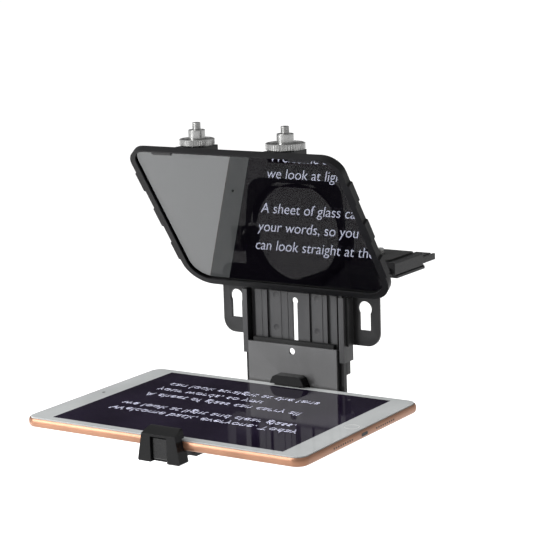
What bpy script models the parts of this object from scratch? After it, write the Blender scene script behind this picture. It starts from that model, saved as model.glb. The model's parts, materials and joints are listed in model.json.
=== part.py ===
"""Tablet teleprompter for a camera: a folding beam splitter over a telescoping tablet clamp.

The origin is the centre of the tripod foot's underside. +X is to the reader's right, +Y runs
back towards the camera, +Z is up. Sizes and places below are in millimetres; the mesh helpers
turn them into metres.
"""

import math

import bmesh
import bpy
from mathutils import Matrix, Vector

MM = 0.001
GAP = 0.3

# Upright body: one extruded profile, a grooved panel with a C channel down each side
CHANNEL_HALF_WIDTH = 47.5
CHANNEL_WALL = 1.2
CHANNEL_LIP = 4.6
CHANNEL_FRONT = -164.5
CHANNEL_BACK = -150.0
CHANNEL_BOTTOM = -41.0
CHANNEL_TOP = 11.5
PANEL_HALF_WIDTH = 42.6
PANEL_FRONT = -160.0
PANEL_THICKNESS = 4.8
PANEL_BOTTOM = -33.0
PANEL_GROOVES = ((-26.4, -22.9, 1.9), (13.5, 15.7, 1.8), (30.0, 33.6, 2.3))
PANEL_LEFT_STEP = (-37.8, 2.4)
PANEL_RIGHT_STEP = (39.0, 2.1)
PANEL_LINES = ((-31.5, 0.3), (-13.1, 0.35), (-6.7, 0.4), (25.5, 0.45))
PANEL_LINE_WIDTH = 0.6
SLOT_HEAD_Z = 4.5
SLOT_HEAD_RADIUS = 2.9
SLOT_HALF_WIDTH = 2.25
SLOT_BOTTOM = -40.0
SLOT_RELIEF_HALF_WIDTH = 9.0
SLOT_WEB = 2.0

# Lens board
BOARD_FRONT = -158.2
BOARD_THICKNESS = 3.0
BOARD_BOTTOM = 11.8
BOARD_TOP = 102.0
BOARD_HALF_WIDTH = 46.5
BOARD_TOP_HALF_WIDTH = 43.5
BOARD_CORNER = 12.3
LENS_Z = 59.2
OPENING_RADIUS = 43.2
OPENING_TOP = 99.0
NOTCH_X = (-44.8, -34.5)
NOTCH_Z = (46.0, 64.6)

# Ears: a lock wheel on the left one, the right one plain
EAR_INNER_X = {"left": 44.7, "right": 43.8}
EAR_OUTER_X = 55.4
TAB_HALF_WIDTH = 53.5
EAR_FRONT = -162.7
EAR_BACK = -158.5
EAR_Z = (41.8, 62.2)
LOCK_PLATE_X = (-55.6, -46.2)
LOCK_PLATE_Y = (-165.0, -163.0)
LOCK_PLATE_Z = (42.0, 63.2)
LOCK_SCREW_X = -50.9
LOCK_SCREW_Z = (46.2, 58.9)
WHEEL_Y = -160.5
WHEEL_Z = 55.2
WHEEL_RADIUS = 8.1
WHEEL_X = (-41.0, -35.2)
WASHER_RADIUS = 5.5
WASHER_X = (-44.4, -41.3)

# Wings with keyholes
WING_INNER_X = 47.8
WING_OUTER_X = 73.5
WING_BOTTOM = -28.0
WING_TOP = 29.5
WING_FRONT = -153.1
WING_BACK = -150.7
WING_FLANGE_FRONT = -161.0
WING_FLANGE_TOP = 11.0
WING_FLANGE_THICKNESS = 2.0
KEYHOLE_X = 60.5
KEYHOLE_HEAD_Z = 2.0
KEYHOLE_RADIUS = 6.1
KEYHOLE_HALF_SLOT = 5.0
KEYHOLE_BOTTOM = -15.5

# Rear plate, gussets, base plate, tripod foot and camera plate
REAR_PLATE_FRONT = -154.9
REAR_PLATE_BACK = -152.4
REAR_PLATE_HALF_WIDTH = 40.9
REAR_PLATE_BOTTOM = 6.8
REAR_LEG_X = 28.0
REAR_LEG_BOTTOM = -16.0
REAR_PLATE_TOP = 95.5
REAR_OPENING_RADIUS = 39.0
REAR_SCREW_X = 35.0
REAR_SCREW_Z = (-10.0, 91.0)
GUSSET_X = (37.9, 40.9)
GUSSET_TOP = 44.0
BASE_WIDE_HALF_WIDTH = 40.9
BASE_WIDE_BACK = -130.0
BASE_HALF_WIDTH = 24.0
BASE_FRONT = -152.1
BASE_BACK = 35.0
BASE_BOTTOM = 6.8
BASE_TOP = 12.3
BASE_SLOT_X = (19.8, 21.8)
BASE_CHANNEL_HALF_WIDTH = 5.0
BASE_SLOT_DEPTH = 1.2
FOOT_HALF_LENGTH = 25.0
FOOT_TOP = 6.5
FOOT_HALF_WIDTH = 19.0
FOOT_NECK_HALF_WIDTH = 15.8
FOOT_RIM = 2.2
FOOT_NECK_Z = 5.4
FOOT_HOLE_Y = 12.0
FOOT_HOLE_RADIUS = 3.2
CAMERA_Y = -20.0
CAMERA_PLATE_HALF_LENGTH = 25.0
CAMERA_PLATE_TOP = 17.6
CAMERA_PAD_TOP = 19.2
CAMERA_SCREW_RADIUS = 3.1
CAMERA_SCREW_HEAD = 6.3
CAMERA_SCREW_TOP = 24.3
LOCK_KNOB_X = (-42.0, -28.6)
LOCK_KNOB_Z = 9.5
LOCK_KNOB_RADIUS = 8.0
KNOB_SPINDLE_RADIUS = 2.0
KNOB_SPINDLE_HOLE = 2.3

# Glass frame, in its own plane: x across, y up the slope, z towards the reader
HINGE_Y = -163.1
HINGE_Z = 25.9
FRAME_TILT = math.radians(55.05)
FRAME_HALF_WIDTH = 95.5
FRAME_BOTTOM = -8.2
FRAME_TOP = 137.3
FRAME_BACK = 3.8
FRAME_FRONT = 9.7
FRAME_CORNERS = (22.0, 15.0)
FRAME_PADS = ((17.5, 37.0), (55.0, 74.5), (93.0, 112.5))
FRAME_PAD_HEIGHT = 1.4
FRAME_PAD_RAMP = 0.6
LIP_HALF_WIDTH = 90.3
LIP_BOTTOM = -2.9
LIP_TOP = 136.0
LIP_CORNERS = (17.5, 12.5)
LIP_BACK = 8.2
POCKET_HALF_WIDTH = 93.2
POCKET_BOTTOM = -5.6
POCKET_TOP = 136.5
POCKET_CORNERS = (19.7, 13.8)
PANE_BACK = 5.9
PANE_FRONT = 7.9
RETAINER_BACK = 4.1
RETAINER_FRONT = 5.6
RETAINER_WIDTH = 4.0
CLIP_X = (53.0, 71.5)
CLIP_HEIGHT = 2.9
KNUCKLE_RADIUS = 3.0
KNUCKLE_X = (34.5, 41.5)
LUG_X = (27.2, 34.2)
LEAF_FRONT = -160.7
LEAF_Z = (20.6, 33.5)
PIN_RADIUS = 1.2
PIN_HOLE_RADIUS = 1.5

# Cold shoes behind the frame's top rail, with their adapters
SHOE_X = 40.0
SHOE_Y = -230.4
SHOE_HALF_WIDTH = 11.5
SHOE_TOP = 136.2
SHOE_PROFILE = (
    (-243.7, 136.2),
    (-237.4, 127.2),
    (-235.2, 127.2),
    (-232.0, 131.2),
    (-218.9, 131.2),
    (-218.9, 136.2),
)
SHOE_SLOT_HALF_WIDTH = 9.45
SHOE_MOUTH_HALF_WIDTH = 6.9
SHOE_SLOT_FRONT = -240.0
SHOE_FOOT_SIZE = 18.5
SHOE_FOOT_Z = (132.9, 134.8)
STEM_RADIUS = 6.4
STEM_TOP = 148.5
STUD_RADIUS = 3.1
STUD_LENGTH = 10.0
STUD_TOP = 154.0
RING_Z = (136.9, 141.7)
RING_RADII = {"left": 13.6, "right": 15.0}

# Telescoping lower plate with its rails
PLATE_HALF_WIDTH = 41.6
PLATE_FRONT = -166.5
PLATE_BACK = -164.5
PLATE_TOP = -30.5
PLATE_BOTTOM = -84.5
PLATE_HOLE_Z = -35.5
PLATE_HOLE_RADIUS = 2.8
RAIL_TOP = -31.0
RAIL_BOTTOM = -82.5
RAIL_INNER_X = 38.0
RAIL_FRONT_X = 42.5
RAIL_STEP_X = 43.2
RAIL_OUTER_X = 46.0
RAIL_STEP_Y = -162.7
RAIL_BACK = -158.5
SLIDE_SHOE_Y = (-158.2, -152.2)
SLIDE_SHOE_Z = (-52.0, -31.5)

# Tablet arm and jaws
ARM_HALF_WIDTH = 13.0
ARM_TOP = -71.1
ARM_BOTTOM = -80.5
ARM_FRONT = -320.0
ARM_BACK = -166.8
ARM_WALL = 1.9
ARM_FLANGE_HALF_WIDTH = 24.0
ARM_FLANGE_FRONT = -168.9
ARM_SCREW_X = 19.0
ARM_SCREW_Z = -76.0
BAR_HALF_WIDTH = 10.6
BAR_Z = (-77.8, -73.4)
BAR_Y = (-344.2, -235.0)
REAR_JAW_Y = (-176.0, -166.8)
REAR_JAW_Z = (-70.8, -53.8)
REAR_JAW_HALF_WIDTHS = (10.5, 14.7, 19.4)
REAR_JAW_UNDER = -60.9
REAR_JAW_STEM = -167.6
REAR_JAW_SCREW_X = 8.0
REAR_JAW_SCREW_Z = -56.8
REAR_JAW_PAD_HALF_WIDTH = 12.0
REAR_JAW_PAD_Y = (-175.0, -168.2)
FRONT_JAW_Y = (-350.5, -339.5)
FRONT_JAW_Z = (-79.2, -54.2)
FRONT_JAW_HALF_WIDTHS = (13.4, 15.0, 18.8)
FRONT_JAW_SLOPE_Y = -341.3
FRONT_JAW_FRONT_EDGE = -58.2
FRONT_JAW_THROAT_Y = -342.5
FRONT_JAW_THROAT_Z = (-70.4, -61.0)
FRONT_JAW_PAD_HALF_WIDTH = 10.0
FRONT_JAW_PAD_Y = (-342.2, -339.8)
JAW_SHOULDER_DROP = 4.2
RECESS_HALF_WIDTH = 7.3
RECESS_TOP = -60.0
RECESS_BACK = -346.2
BUTTON_CLEARANCE = 0.5
BUTTON_Y = (-348.4, -347.2)
BUTTON_Z = (-77.0, -61.2)

# Tablet lying in the clamp, screen up, 8 mm left of centre
TABLET_X = -8.0
TABLET_Y = -255.0
TABLET_TOP = -62.5
TABLET_THICKNESS = 7.5
TABLET_SIZE = (250.6, 174.1)
TABLET_CORNER = 10.0
TABLET_WALL = 1.6
TABLET_FLOOR = 1.2
TABLET_GLASS = 1.0
TABLET_GLASS_INSET = 1.9
TABLET_CORE_INSET = 4.0
TABLET_EDGE_BEVEL = 1.6
HOME_BUTTON_X = 106.5
HOME_BUTTON_RADIUS = 5.5

# Screws and small holes
SCREW_SIDES = 16
SCREW_HOLE = 1.5
SCREW_SHANK = 1.2
SMOOTH_ANGLE = math.radians(35)
SIDES = {"left": -1, "right": 1}


# ---------------------------------------------------------------- scene and materials

for old in list(bpy.data.objects):
    bpy.data.objects.remove(old)

PARTS = bpy.data.collections.new("teleprompter")
CUTTERS = bpy.data.collections.new("teleprompter_cutters")
bpy.context.scene.collection.children.link(PARTS)
bpy.context.scene.collection.children.link(CUTTERS)


def material(name, colour, roughness, metallic, alpha=1.0):
    made = bpy.data.materials.new(name)
    made.use_nodes = True
    shader = made.node_tree.nodes["Principled BSDF"]
    shader.inputs["Base Color"].default_value = (*colour, 1.0)
    shader.inputs["Roughness"].default_value = roughness
    shader.inputs["Metallic"].default_value = metallic
    shader.inputs["Alpha"].default_value = alpha
    made.diffuse_color = (*colour, alpha)
    return made


BLACK_METAL = material("black_anodised", (0.045, 0.045, 0.048), 0.45, 0.8)
GREY_METAL = material("graphite_plate", (0.11, 0.11, 0.115), 0.4, 0.8)
BLACK_PLASTIC = material("black_plastic", (0.02, 0.02, 0.021), 0.5, 0.0)
RUBBER = material("rubber", (0.015, 0.015, 0.015), 0.85, 0.0)
SILVER = material("silver_steel", (0.55, 0.55, 0.54), 0.32, 1.0)
GLASS = material("beam_splitter_glass", (0.35, 0.36, 0.37), 0.03, 0.0, 0.35)
TABLET_SHELL = material("rose_aluminium", (0.72, 0.42, 0.3), 0.3, 1.0)
TABLET_FACE = material("screen_glass", (0.05, 0.045, 0.06), 0.08, 0.0)


# ---------------------------------------------------------------- outlines, in millimetres


def arc(cx, cy, radius, start, end, steps):
    """Points of an arc, both ends included, angles in degrees."""
    angles = [math.radians(start + (end - start) * i / steps) for i in range(steps + 1)]
    return [(cx + radius * math.cos(a), cy + radius * math.sin(a)) for a in angles]


def circle(cx, cy, radius, steps=32):
    return arc(cx, cy, radius, 0, 360 * (steps - 1) / steps, steps - 1)


def rectangle(x0, y0, x1, y1):
    return [(x0, y0), (x1, y0), (x1, y1), (x0, y1)]


def rounded_rectangle(x0, y0, x1, y1, radius, steps=5):
    points = arc(x1 - radius, y0 + radius, radius, -90, 0, steps)
    points += arc(x1 - radius, y1 - radius, radius, 0, 90, steps)
    points += arc(x0 + radius, y1 - radius, radius, 90, 180, steps)
    points += arc(x0 + radius, y0 + radius, radius, 180, 270, steps)
    return points


def keyhole(cx, head_y, radius, half_slot, bottom, steps=20):
    """A round head with a straight slot running down from it."""
    entry = math.degrees(math.asin(half_slot / radius))
    head = arc(cx, head_y, radius, -90 + entry, 270 - entry, steps)
    return [(cx + half_slot, bottom)] + head + [(cx - half_slot, bottom)]


def flat_topped_circle(cx, cy, radius, top, steps=56):
    """A circle cut off by a horizontal chord at height top."""
    chord = math.degrees(math.asin((top - cy) / radius))
    return arc(cx, cy, radius, 180 - chord, 360 + chord, steps)


def mirrored(half):
    """Closes a right-hand half outline, listed bottom to top, with its left-hand image."""
    return half + [(-x, y) for x, y in reversed(half)]


# ---------------------------------------------------------------- meshes, placed and linked


def move_to(x=0.0, y=0.0, z=0.0):
    return Matrix.Translation(Vector((x, y, z)) * MM)


def facing_front(y_mid):
    """Puts an outline drawn in (X, Z) upright, with its thickness along Y."""
    return move_to(y=y_mid) @ Matrix.Rotation(math.radians(90), 4, "X")


def facing_side(x_mid):
    """Puts an outline drawn in (Y, Z) upright, with its thickness along X."""
    turn = Matrix(((0, 0, 1, 0), (1, 0, 0, 0), (0, 1, 0, 0), (0, 0, 0, 1)))
    return move_to(x=x_mid) @ turn


def outline_mesh(name, outlines, thickness):
    """Fills nested outlines, the inner ones as holes, and gives them a thickness about z = 0."""
    curve = bpy.data.curves.new(name, "CURVE")
    curve.dimensions = "2D"
    curve.fill_mode = "BOTH"
    curve.extrude = thickness * MM / 2
    for points in outlines:
        spline = curve.splines.new("POLY")
        spline.points.add(len(points) - 1)
        for target, (x, y) in zip(spline.points, points):
            target.co = (x * MM, y * MM, 0.0, 1.0)
        spline.use_cyclic_u = True
    guide = bpy.data.objects.new(name, curve)
    CUTTERS.objects.link(guide)
    depsgraph = bpy.context.evaluated_depsgraph_get()
    mesh = bpy.data.meshes.new_from_object(guide.evaluated_get(depsgraph))
    bpy.data.objects.remove(guide)
    work = bmesh.new()
    work.from_mesh(mesh)
    bmesh.ops.remove_doubles(work, verts=work.verts, dist=1e-6)
    bmesh.ops.recalc_face_normals(work, faces=work.faces)
    work.to_mesh(mesh)
    work.free()
    return mesh


def box_mesh(name, x, y, z):
    """A box between the pairs x, y and z."""
    work = bmesh.new()
    bmesh.ops.create_cube(work, size=1.0)
    size = Vector((x[1] - x[0], y[1] - y[0], z[1] - z[0])) * MM
    centre = Vector((x[0] + x[1], y[0] + y[1], z[0] + z[1])) * MM / 2
    bmesh.ops.scale(work, vec=size, verts=work.verts)
    bmesh.ops.translate(work, vec=centre, verts=work.verts)
    mesh = bpy.data.meshes.new(name)
    work.to_mesh(mesh)
    work.free()
    return mesh


def rod_mesh(name, radius, length, sides=SCREW_SIDES):
    """A rod along z, centred."""
    work = bmesh.new()
    bmesh.ops.create_cone(
        work,
        cap_ends=True,
        segments=sides,
        radius1=radius * MM,
        radius2=radius * MM,
        depth=length * MM,
    )
    mesh = bpy.data.meshes.new(name)
    work.to_mesh(mesh)
    work.free()
    return mesh


def pivot(name, location, parent=None):
    """An empty on a joint's axis, for the pieces that move about or along it."""
    empty = bpy.data.objects.new(name, None)
    empty.empty_display_size = 0.01
    PARTS.objects.link(empty)
    attach(empty, move_to(*location), parent)
    return empty


def attach(obj, world, parent):
    bpy.context.view_layer.update()
    if parent:
        obj.parent = parent
        obj.matrix_parent_inverse = parent.matrix_world.inverted()
    obj.matrix_basis = world
    bpy.context.view_layer.update()


def smoothed(mesh):
    mesh.shade_smooth()
    mesh.set_sharp_from_angle(angle=SMOOTH_ANGLE)


def part(name, mesh, finish, parent=None, world=None, bevel=0.0):
    """Links a named sub-part; world places its mesh, bevel rounds its edges."""
    obj = bpy.data.objects.new(name, mesh)
    PARTS.objects.link(obj)
    mesh.materials.clear()
    mesh.materials.append(finish)
    attach(obj, world or Matrix.Identity(4), parent)
    smoothed(mesh)
    if bevel:
        rounding = obj.modifiers.new("rounded_edges", "BEVEL")
        rounding.width = bevel * MM
        rounding.segments = 1
        rounding.limit_method = "ANGLE"
        rounding.angle_limit = math.radians(50)
    return obj


def combine(obj, mesh, operation, world=None):
    """Cuts a shape from obj, or joins one to it, with an exact Boolean."""
    tool = bpy.data.objects.new(obj.name + "_" + operation.lower(), mesh)
    CUTTERS.objects.link(tool)
    tool.hide_render = True
    tool.display_type = "WIRE"
    attach(tool, world or Matrix.Identity(4), obj.parent)
    step = obj.modifiers.new(operation.lower(), "BOOLEAN")
    step.operation = operation
    step.object = tool
    step.solver = "EXACT"


def cut(obj, mesh, world=None):
    combine(obj, mesh, "DIFFERENCE", world)


def join(obj, mesh, world=None):
    combine(obj, mesh, "UNION", world)


def along(axis, at):
    """Turns z onto an axis, X, Y or Z, with the middle at a point."""
    turns = {"X": Matrix.Rotation(math.radians(90), 4, "Y"), "Z": Matrix.Identity(4)}
    turns["Y"] = Matrix.Rotation(math.radians(-90), 4, "X")
    return move_to(*at) @ turns[axis]


def drill(obj, radius, length, axis, at, sides=SCREW_SIDES):
    cut(obj, rod_mesh(obj.name + "_hole", radius, length, sides), along(axis, at))


def turned(name, profile, finish, world, parent=None, steps=24):
    """Turns a profile of (radius, height) points, listed top to bottom, about z."""
    mesh = bpy.data.meshes.new(name)
    points = [(r * MM, 0.0, h * MM) for r, h in profile]
    mesh.from_pydata(points, [(i, i + 1) for i in range(len(points) - 1)], [])
    obj = bpy.data.objects.new(name, mesh)
    PARTS.objects.link(obj)
    mesh.materials.append(finish)
    attach(obj, world, parent)
    screw = obj.modifiers.new("turned", "SCREW")
    screw.steps = steps
    screw.render_steps = steps
    screw.use_merge_vertices = True
    screw.merge_threshold = 1e-6
    bpy.context.view_layer.update()
    depsgraph = bpy.context.evaluated_depsgraph_get()
    shaped = bpy.data.meshes.new_from_object(obj.evaluated_get(depsgraph))
    obj.modifiers.remove(screw)
    obj.data = shaped
    smoothed(shaped)
    return obj


def socket_screw(name, at, axis, head_radius, head_height, shank_radius, length, parent=None):
    """A pan-head screw: at is under its head, and axis (X, Y or Z, signed) points out of it."""
    profile = [
        (0.0, head_height * 0.45),
        (head_radius * 0.5, head_height * 0.45),
        (head_radius * 0.5, head_height),
        (head_radius, head_height * 0.75),
        (head_radius, 0.0),
        (shank_radius, 0.0),
        (shank_radius, -length),
        (0.0, -length),
    ]
    world = along(axis[1], at)
    if axis[0] == "-":
        world = world @ Matrix.Rotation(math.radians(180), 4, "X")
    return turned(name, profile, SILVER, world, parent, SCREW_SIDES)


# ---------------------------------------------------------------- upright body


def panel_front_edge():
    """Front line of the panel from left to right, down into each groove and scored line."""
    left, left_depth = PANEL_LEFT_STEP
    right, right_depth = PANEL_RIGHT_STEP
    points = [(-PANEL_HALF_WIDTH, PANEL_FRONT + left_depth), (left, PANEL_FRONT + left_depth)]
    points += [(left, PANEL_FRONT)]
    marks = list(PANEL_GROOVES)
    marks += [(x, x + PANEL_LINE_WIDTH, depth) for x, depth in PANEL_LINES]
    for start, end, depth in sorted(marks):
        points += [(start, PANEL_FRONT), (start, PANEL_FRONT + depth)]
        points += [(end, PANEL_FRONT + depth), (end, PANEL_FRONT)]
    points += [(right, PANEL_FRONT), (right, PANEL_FRONT + right_depth)]
    points += [(PANEL_HALF_WIDTH, PANEL_FRONT + right_depth)]
    return points


def make_body_profile():
    """Grooved panel and both C channels in one extrusion. The lower plate runs in the channels."""
    lip = CHANNEL_HALF_WIDTH - CHANNEL_LIP
    web = CHANNEL_HALF_WIDTH - CHANNEL_WALL
    inside_front = CHANNEL_FRONT + CHANNEL_WALL + 0.2
    inside_back = CHANNEL_BACK - CHANNEL_WALL - 0.2
    right = [
        (PANEL_HALF_WIDTH, inside_back),
        (web, inside_back),
        (web, inside_front),
        (lip, inside_front),
        (lip, CHANNEL_FRONT),
        (CHANNEL_HALF_WIDTH, CHANNEL_FRONT),
        (CHANNEL_HALF_WIDTH, CHANNEL_BACK),
        (PANEL_HALF_WIDTH - 1.4, CHANNEL_BACK),
        (PANEL_HALF_WIDTH - 1.4, PANEL_FRONT + PANEL_THICKNESS),
    ]
    left = [(-x, y) for x, y in reversed(right)]
    outline = panel_front_edge() + right + left
    mesh = outline_mesh("body", [outline], CHANNEL_TOP - CHANNEL_BOTTOM)
    middle = (CHANNEL_TOP + CHANNEL_BOTTOM) / 2
    body = part("body_panel", mesh, GREY_METAL, world=move_to(z=middle))
    # below the panel only the channels go on down
    reach = PANEL_HALF_WIDTH + 0.6
    below = box_mesh("below", (-reach, reach), (-161.0, -149.0), (-45.0, PANEL_BOTTOM))
    cut(body, below)
    slot = keyhole(0, SLOT_HEAD_Z, SLOT_HEAD_RADIUS, SLOT_HALF_WIDTH, SLOT_BOTTOM)
    cut(body, outline_mesh("panel_slot", [slot], 12.0), facing_front(PANEL_FRONT + 2.0))
    relief_x = (-SLOT_RELIEF_HALF_WIDTH, SLOT_RELIEF_HALF_WIDTH)
    relief_y = (PANEL_FRONT + SLOT_WEB, CHANNEL_BACK + 2.0)
    cut(body, box_mesh("relief", relief_x, relief_y, (SLOT_BOTTOM, CHANNEL_TOP + 4.0)))
    for sign in SIDES.values():
        at = (sign * REAR_SCREW_X, PANEL_FRONT + PANEL_THICKNESS, REAR_SCREW_Z[0])
        drill(body, SCREW_HOLE, 4.4, "Y", at)


def make_lens_board():
    """Rounded board with a flat-topped lens opening and a notch for the lock wheel."""
    tab_z = (EAR_Z[0] + 1.0, EAR_Z[1] - 1.0)
    half = [(BOARD_HALF_WIDTH, BOARD_BOTTOM), (BOARD_HALF_WIDTH, tab_z[0])]
    half += [(TAB_HALF_WIDTH, tab_z[0]), (TAB_HALF_WIDTH, tab_z[1])]
    half += [(BOARD_HALF_WIDTH, tab_z[1])]
    half += arc(
        BOARD_TOP_HALF_WIDTH - BOARD_CORNER, BOARD_TOP - BOARD_CORNER, BOARD_CORNER, 0, 90, 8
    )
    left = [(-x, z) for x, z in reversed(half)]
    opening = flat_topped_circle(0, LENS_Z, OPENING_RADIUS, OPENING_TOP)
    holes = [circle(s * REAR_SCREW_X, REAR_SCREW_Z[1], SCREW_HOLE, SCREW_SIDES) for s in (-1, 1)]
    mesh = outline_mesh("board", [half + left, opening] + holes, BOARD_THICKNESS)
    middle = BOARD_FRONT + BOARD_THICKNESS / 2
    board = part("lens_board", mesh, GREY_METAL, world=facing_front(middle))
    notch = rectangle(NOTCH_X[0], NOTCH_Z[0], NOTCH_X[1], NOTCH_Z[1])
    cut(board, outline_mesh("notch", [notch], 8.0), facing_front(middle))


def make_ears():
    """Ear block on each side of the board, with the lock wheel on the left one."""
    for side, sign in SIDES.items():
        x = sorted((sign * EAR_INNER_X[side], sign * EAR_OUTER_X))
        outline = rounded_rectangle(x[0], EAR_Z[0], x[1], EAR_Z[1], 2.0, 3)
        mesh = outline_mesh("ear", [outline], EAR_BACK - EAR_FRONT)
        ear = part("ear_" + side, mesh, BLACK_METAL, world=facing_front((EAR_FRONT + EAR_BACK) / 2))
        if side == "left":
            for z in LOCK_SCREW_Z:
                drill(ear, SCREW_HOLE, 12.0, "Y", (LOCK_SCREW_X, EAR_FRONT, z))
            drill(ear, KNOB_SPINDLE_HOLE, 8.0, "X", (-EAR_INNER_X[side], WHEEL_Y, WHEEL_Z))

    x0, x1 = LOCK_PLATE_X
    outlines = [rounded_rectangle(x0, LOCK_PLATE_Z[0], x1, LOCK_PLATE_Z[1], 1.8, 4)]
    outlines += [circle(LOCK_SCREW_X, z, SCREW_HOLE, SCREW_SIDES) for z in LOCK_SCREW_Z]
    mesh = outline_mesh("lock_plate", outlines, LOCK_PLATE_Y[1] - LOCK_PLATE_Y[0])
    part("lock_plate", mesh, SILVER, world=facing_front(sum(LOCK_PLATE_Y) / 2))
    for label, z in zip(("lower", "upper"), LOCK_SCREW_Z):
        at = (LOCK_SCREW_X, LOCK_PLATE_Y[0] - 0.1, z)
        socket_screw("lock_plate_screw_" + label, at, "-Y", 2.3, 0.9, SCREW_SHANK, 5.6)

    axis = pivot("lock_wheel_axis", (WHEEL_X[0], WHEEL_Y, WHEEL_Z))
    length = WHEEL_X[1] - WHEEL_X[0]
    profile = [
        (0.0, 0.0),
        (WHEEL_RADIUS - 1.2, 0.0),
        (WHEEL_RADIUS, -1.0),
        (WHEEL_RADIUS, 1.0 - length),
        (WHEEL_RADIUS - 1.0, -length),
        (KNOB_SPINDLE_RADIUS, -length),
        (KNOB_SPINDLE_RADIUS, -length - 5.6),
        (0.0, -length - 5.6),
    ]
    turned("lock_wheel", profile, BLACK_PLASTIC, along("X", (WHEEL_X[1], WHEEL_Y, WHEEL_Z)), axis, 32)
    washer = outline_mesh(
        "washer",
        [circle(0, 0, WASHER_RADIUS, 32), circle(0, 0, KNOB_SPINDLE_HOLE, 20)],
        WASHER_X[1] - WASHER_X[0],
    )
    world = along("X", (sum(WASHER_X) / 2, WHEEL_Y, WHEEL_Z))
    part("lock_washer", washer, SILVER, world=world)


def make_wings():
    """Side wings with keyholes, each with a flange against its channel."""
    for side, sign in SIDES.items():
        half = [(WING_INNER_X, WING_BOTTOM)]
        half += arc(WING_OUTER_X - 11.0, WING_BOTTOM + 11.0, 11.0, -90, 0, 7)
        half += arc(WING_OUTER_X - 8.0, WING_TOP - 8.0, 8.0, 0, 90, 5)
        half += [(WING_INNER_X, WING_TOP)]
        hole = keyhole(
            KEYHOLE_X, KEYHOLE_HEAD_Z, KEYHOLE_RADIUS, KEYHOLE_HALF_SLOT, KEYHOLE_BOTTOM
        )
        outlines = [[(sign * x, z) for x, z in half], [(sign * x, z) for x, z in hole]]
        mesh = outline_mesh("wing", outlines, WING_BACK - WING_FRONT)
        middle = (WING_FRONT + WING_BACK) / 2
        wing = part("wing_" + side, mesh, GREY_METAL, world=facing_front(middle))
        flange_x = sorted((sign * WING_INNER_X, sign * (WING_INNER_X + WING_FLANGE_THICKNESS)))
        flange_y = (WING_FLANGE_FRONT, WING_FRONT + 0.5)
        join(wing, box_mesh("flange", flange_x, flange_y, (WING_BOTTOM, WING_FLANGE_TOP)))


# ---------------------------------------------------------------- base and camera seat


def make_rear_plate():
    """Plate behind the lens board, held by four screws, and the gussets below its sides."""
    half = [(REAR_LEG_X, REAR_PLATE_BOTTOM), (REAR_LEG_X, REAR_LEG_BOTTOM)]
    half += [(REAR_PLATE_HALF_WIDTH, REAR_LEG_BOTTOM)]
    half += arc(REAR_PLATE_HALF_WIDTH - 8.0, REAR_PLATE_TOP - 8.0, 8.0, 0, 90, 5)
    outlines = [mirrored(half), circle(0, LENS_Z, REAR_OPENING_RADIUS, 48)]
    for sign in SIDES.values():
        outlines += [circle(sign * REAR_SCREW_X, z, SCREW_HOLE, SCREW_SIDES) for z in REAR_SCREW_Z]
    mesh = outline_mesh("rear_plate", outlines, REAR_PLATE_BACK - REAR_PLATE_FRONT)
    middle = (REAR_PLATE_FRONT + REAR_PLATE_BACK) / 2
    plate = part("rear_plate", mesh, BLACK_METAL, world=facing_front(middle))
    notch = rectangle(NOTCH_X[0], NOTCH_Z[0], NOTCH_X[1], NOTCH_Z[1])
    cut(plate, outline_mesh("notch", [notch], 8.0), facing_front(middle))
    for side, sign in SIDES.items():
        for label, z in zip(("low", "top"), REAR_SCREW_Z):
            at = (sign * REAR_SCREW_X, REAR_PLATE_BACK + 0.1, z)
            name = "rear_screw_" + side + "_" + label
            socket_screw(name, at, "+Y", 2.6, 1.6, SCREW_SHANK, 4.8)
        outline = [
            (BASE_FRONT, BASE_TOP + GAP),
            (BASE_WIDE_BACK, BASE_TOP + GAP),
            (BASE_WIDE_BACK, BASE_TOP + 5.0),
            (BASE_FRONT + 4.0, GUSSET_TOP),
            (BASE_FRONT, GUSSET_TOP),
        ]
        mesh = outline_mesh("gusset", [outline], GUSSET_X[1] - GUSSET_X[0])
        world = facing_side(sign * sum(GUSSET_X) / 2)
        part("base_gusset_" + side, mesh, BLACK_METAL, world=world)


def make_base_plate():
    """Extruded plate with ridges along its top, wide at its front end under the gussets."""
    half = [
        (BASE_HALF_WIDTH, BASE_BOTTOM),
        (BASE_HALF_WIDTH, BASE_TOP),
        (BASE_SLOT_X[1], BASE_TOP),
        (BASE_SLOT_X[1], BASE_TOP - BASE_SLOT_DEPTH),
        (BASE_SLOT_X[0], BASE_TOP - BASE_SLOT_DEPTH),
        (BASE_SLOT_X[0], BASE_TOP),
        (BASE_CHANNEL_HALF_WIDTH, BASE_TOP),
        (BASE_CHANNEL_HALF_WIDTH, BASE_TOP - BASE_SLOT_DEPTH),
    ]
    mesh = outline_mesh("base", [mirrored(half)], BASE_BACK - BASE_FRONT)
    base = part(
        "base_plate", mesh, BLACK_METAL, world=facing_front((BASE_BACK + BASE_FRONT) / 2)
    )
    wide = (-BASE_WIDE_HALF_WIDTH, BASE_WIDE_HALF_WIDTH)
    join(base, box_mesh("wide", wide, (BASE_FRONT, BASE_WIDE_BACK), (BASE_BOTTOM, BASE_TOP)))


def make_tripod_foot():
    """Dovetail foot under the base plate, with a threaded hole behind its middle."""
    half = [
        (FOOT_HALF_WIDTH, 0.0),
        (FOOT_HALF_WIDTH, FOOT_RIM),
        (FOOT_NECK_HALF_WIDTH, FOOT_NECK_Z),
        (FOOT_NECK_HALF_WIDTH, FOOT_TOP),
    ]
    mesh = outline_mesh("foot", [mirrored(half)], 2 * FOOT_HALF_LENGTH)
    foot = part("tripod_foot", mesh, BLACK_METAL, world=facing_front(0.0))
    drill(foot, FOOT_HOLE_RADIUS, 16.0, "Z", (0, FOOT_HOLE_Y, FOOT_TOP / 2), 24)


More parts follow.
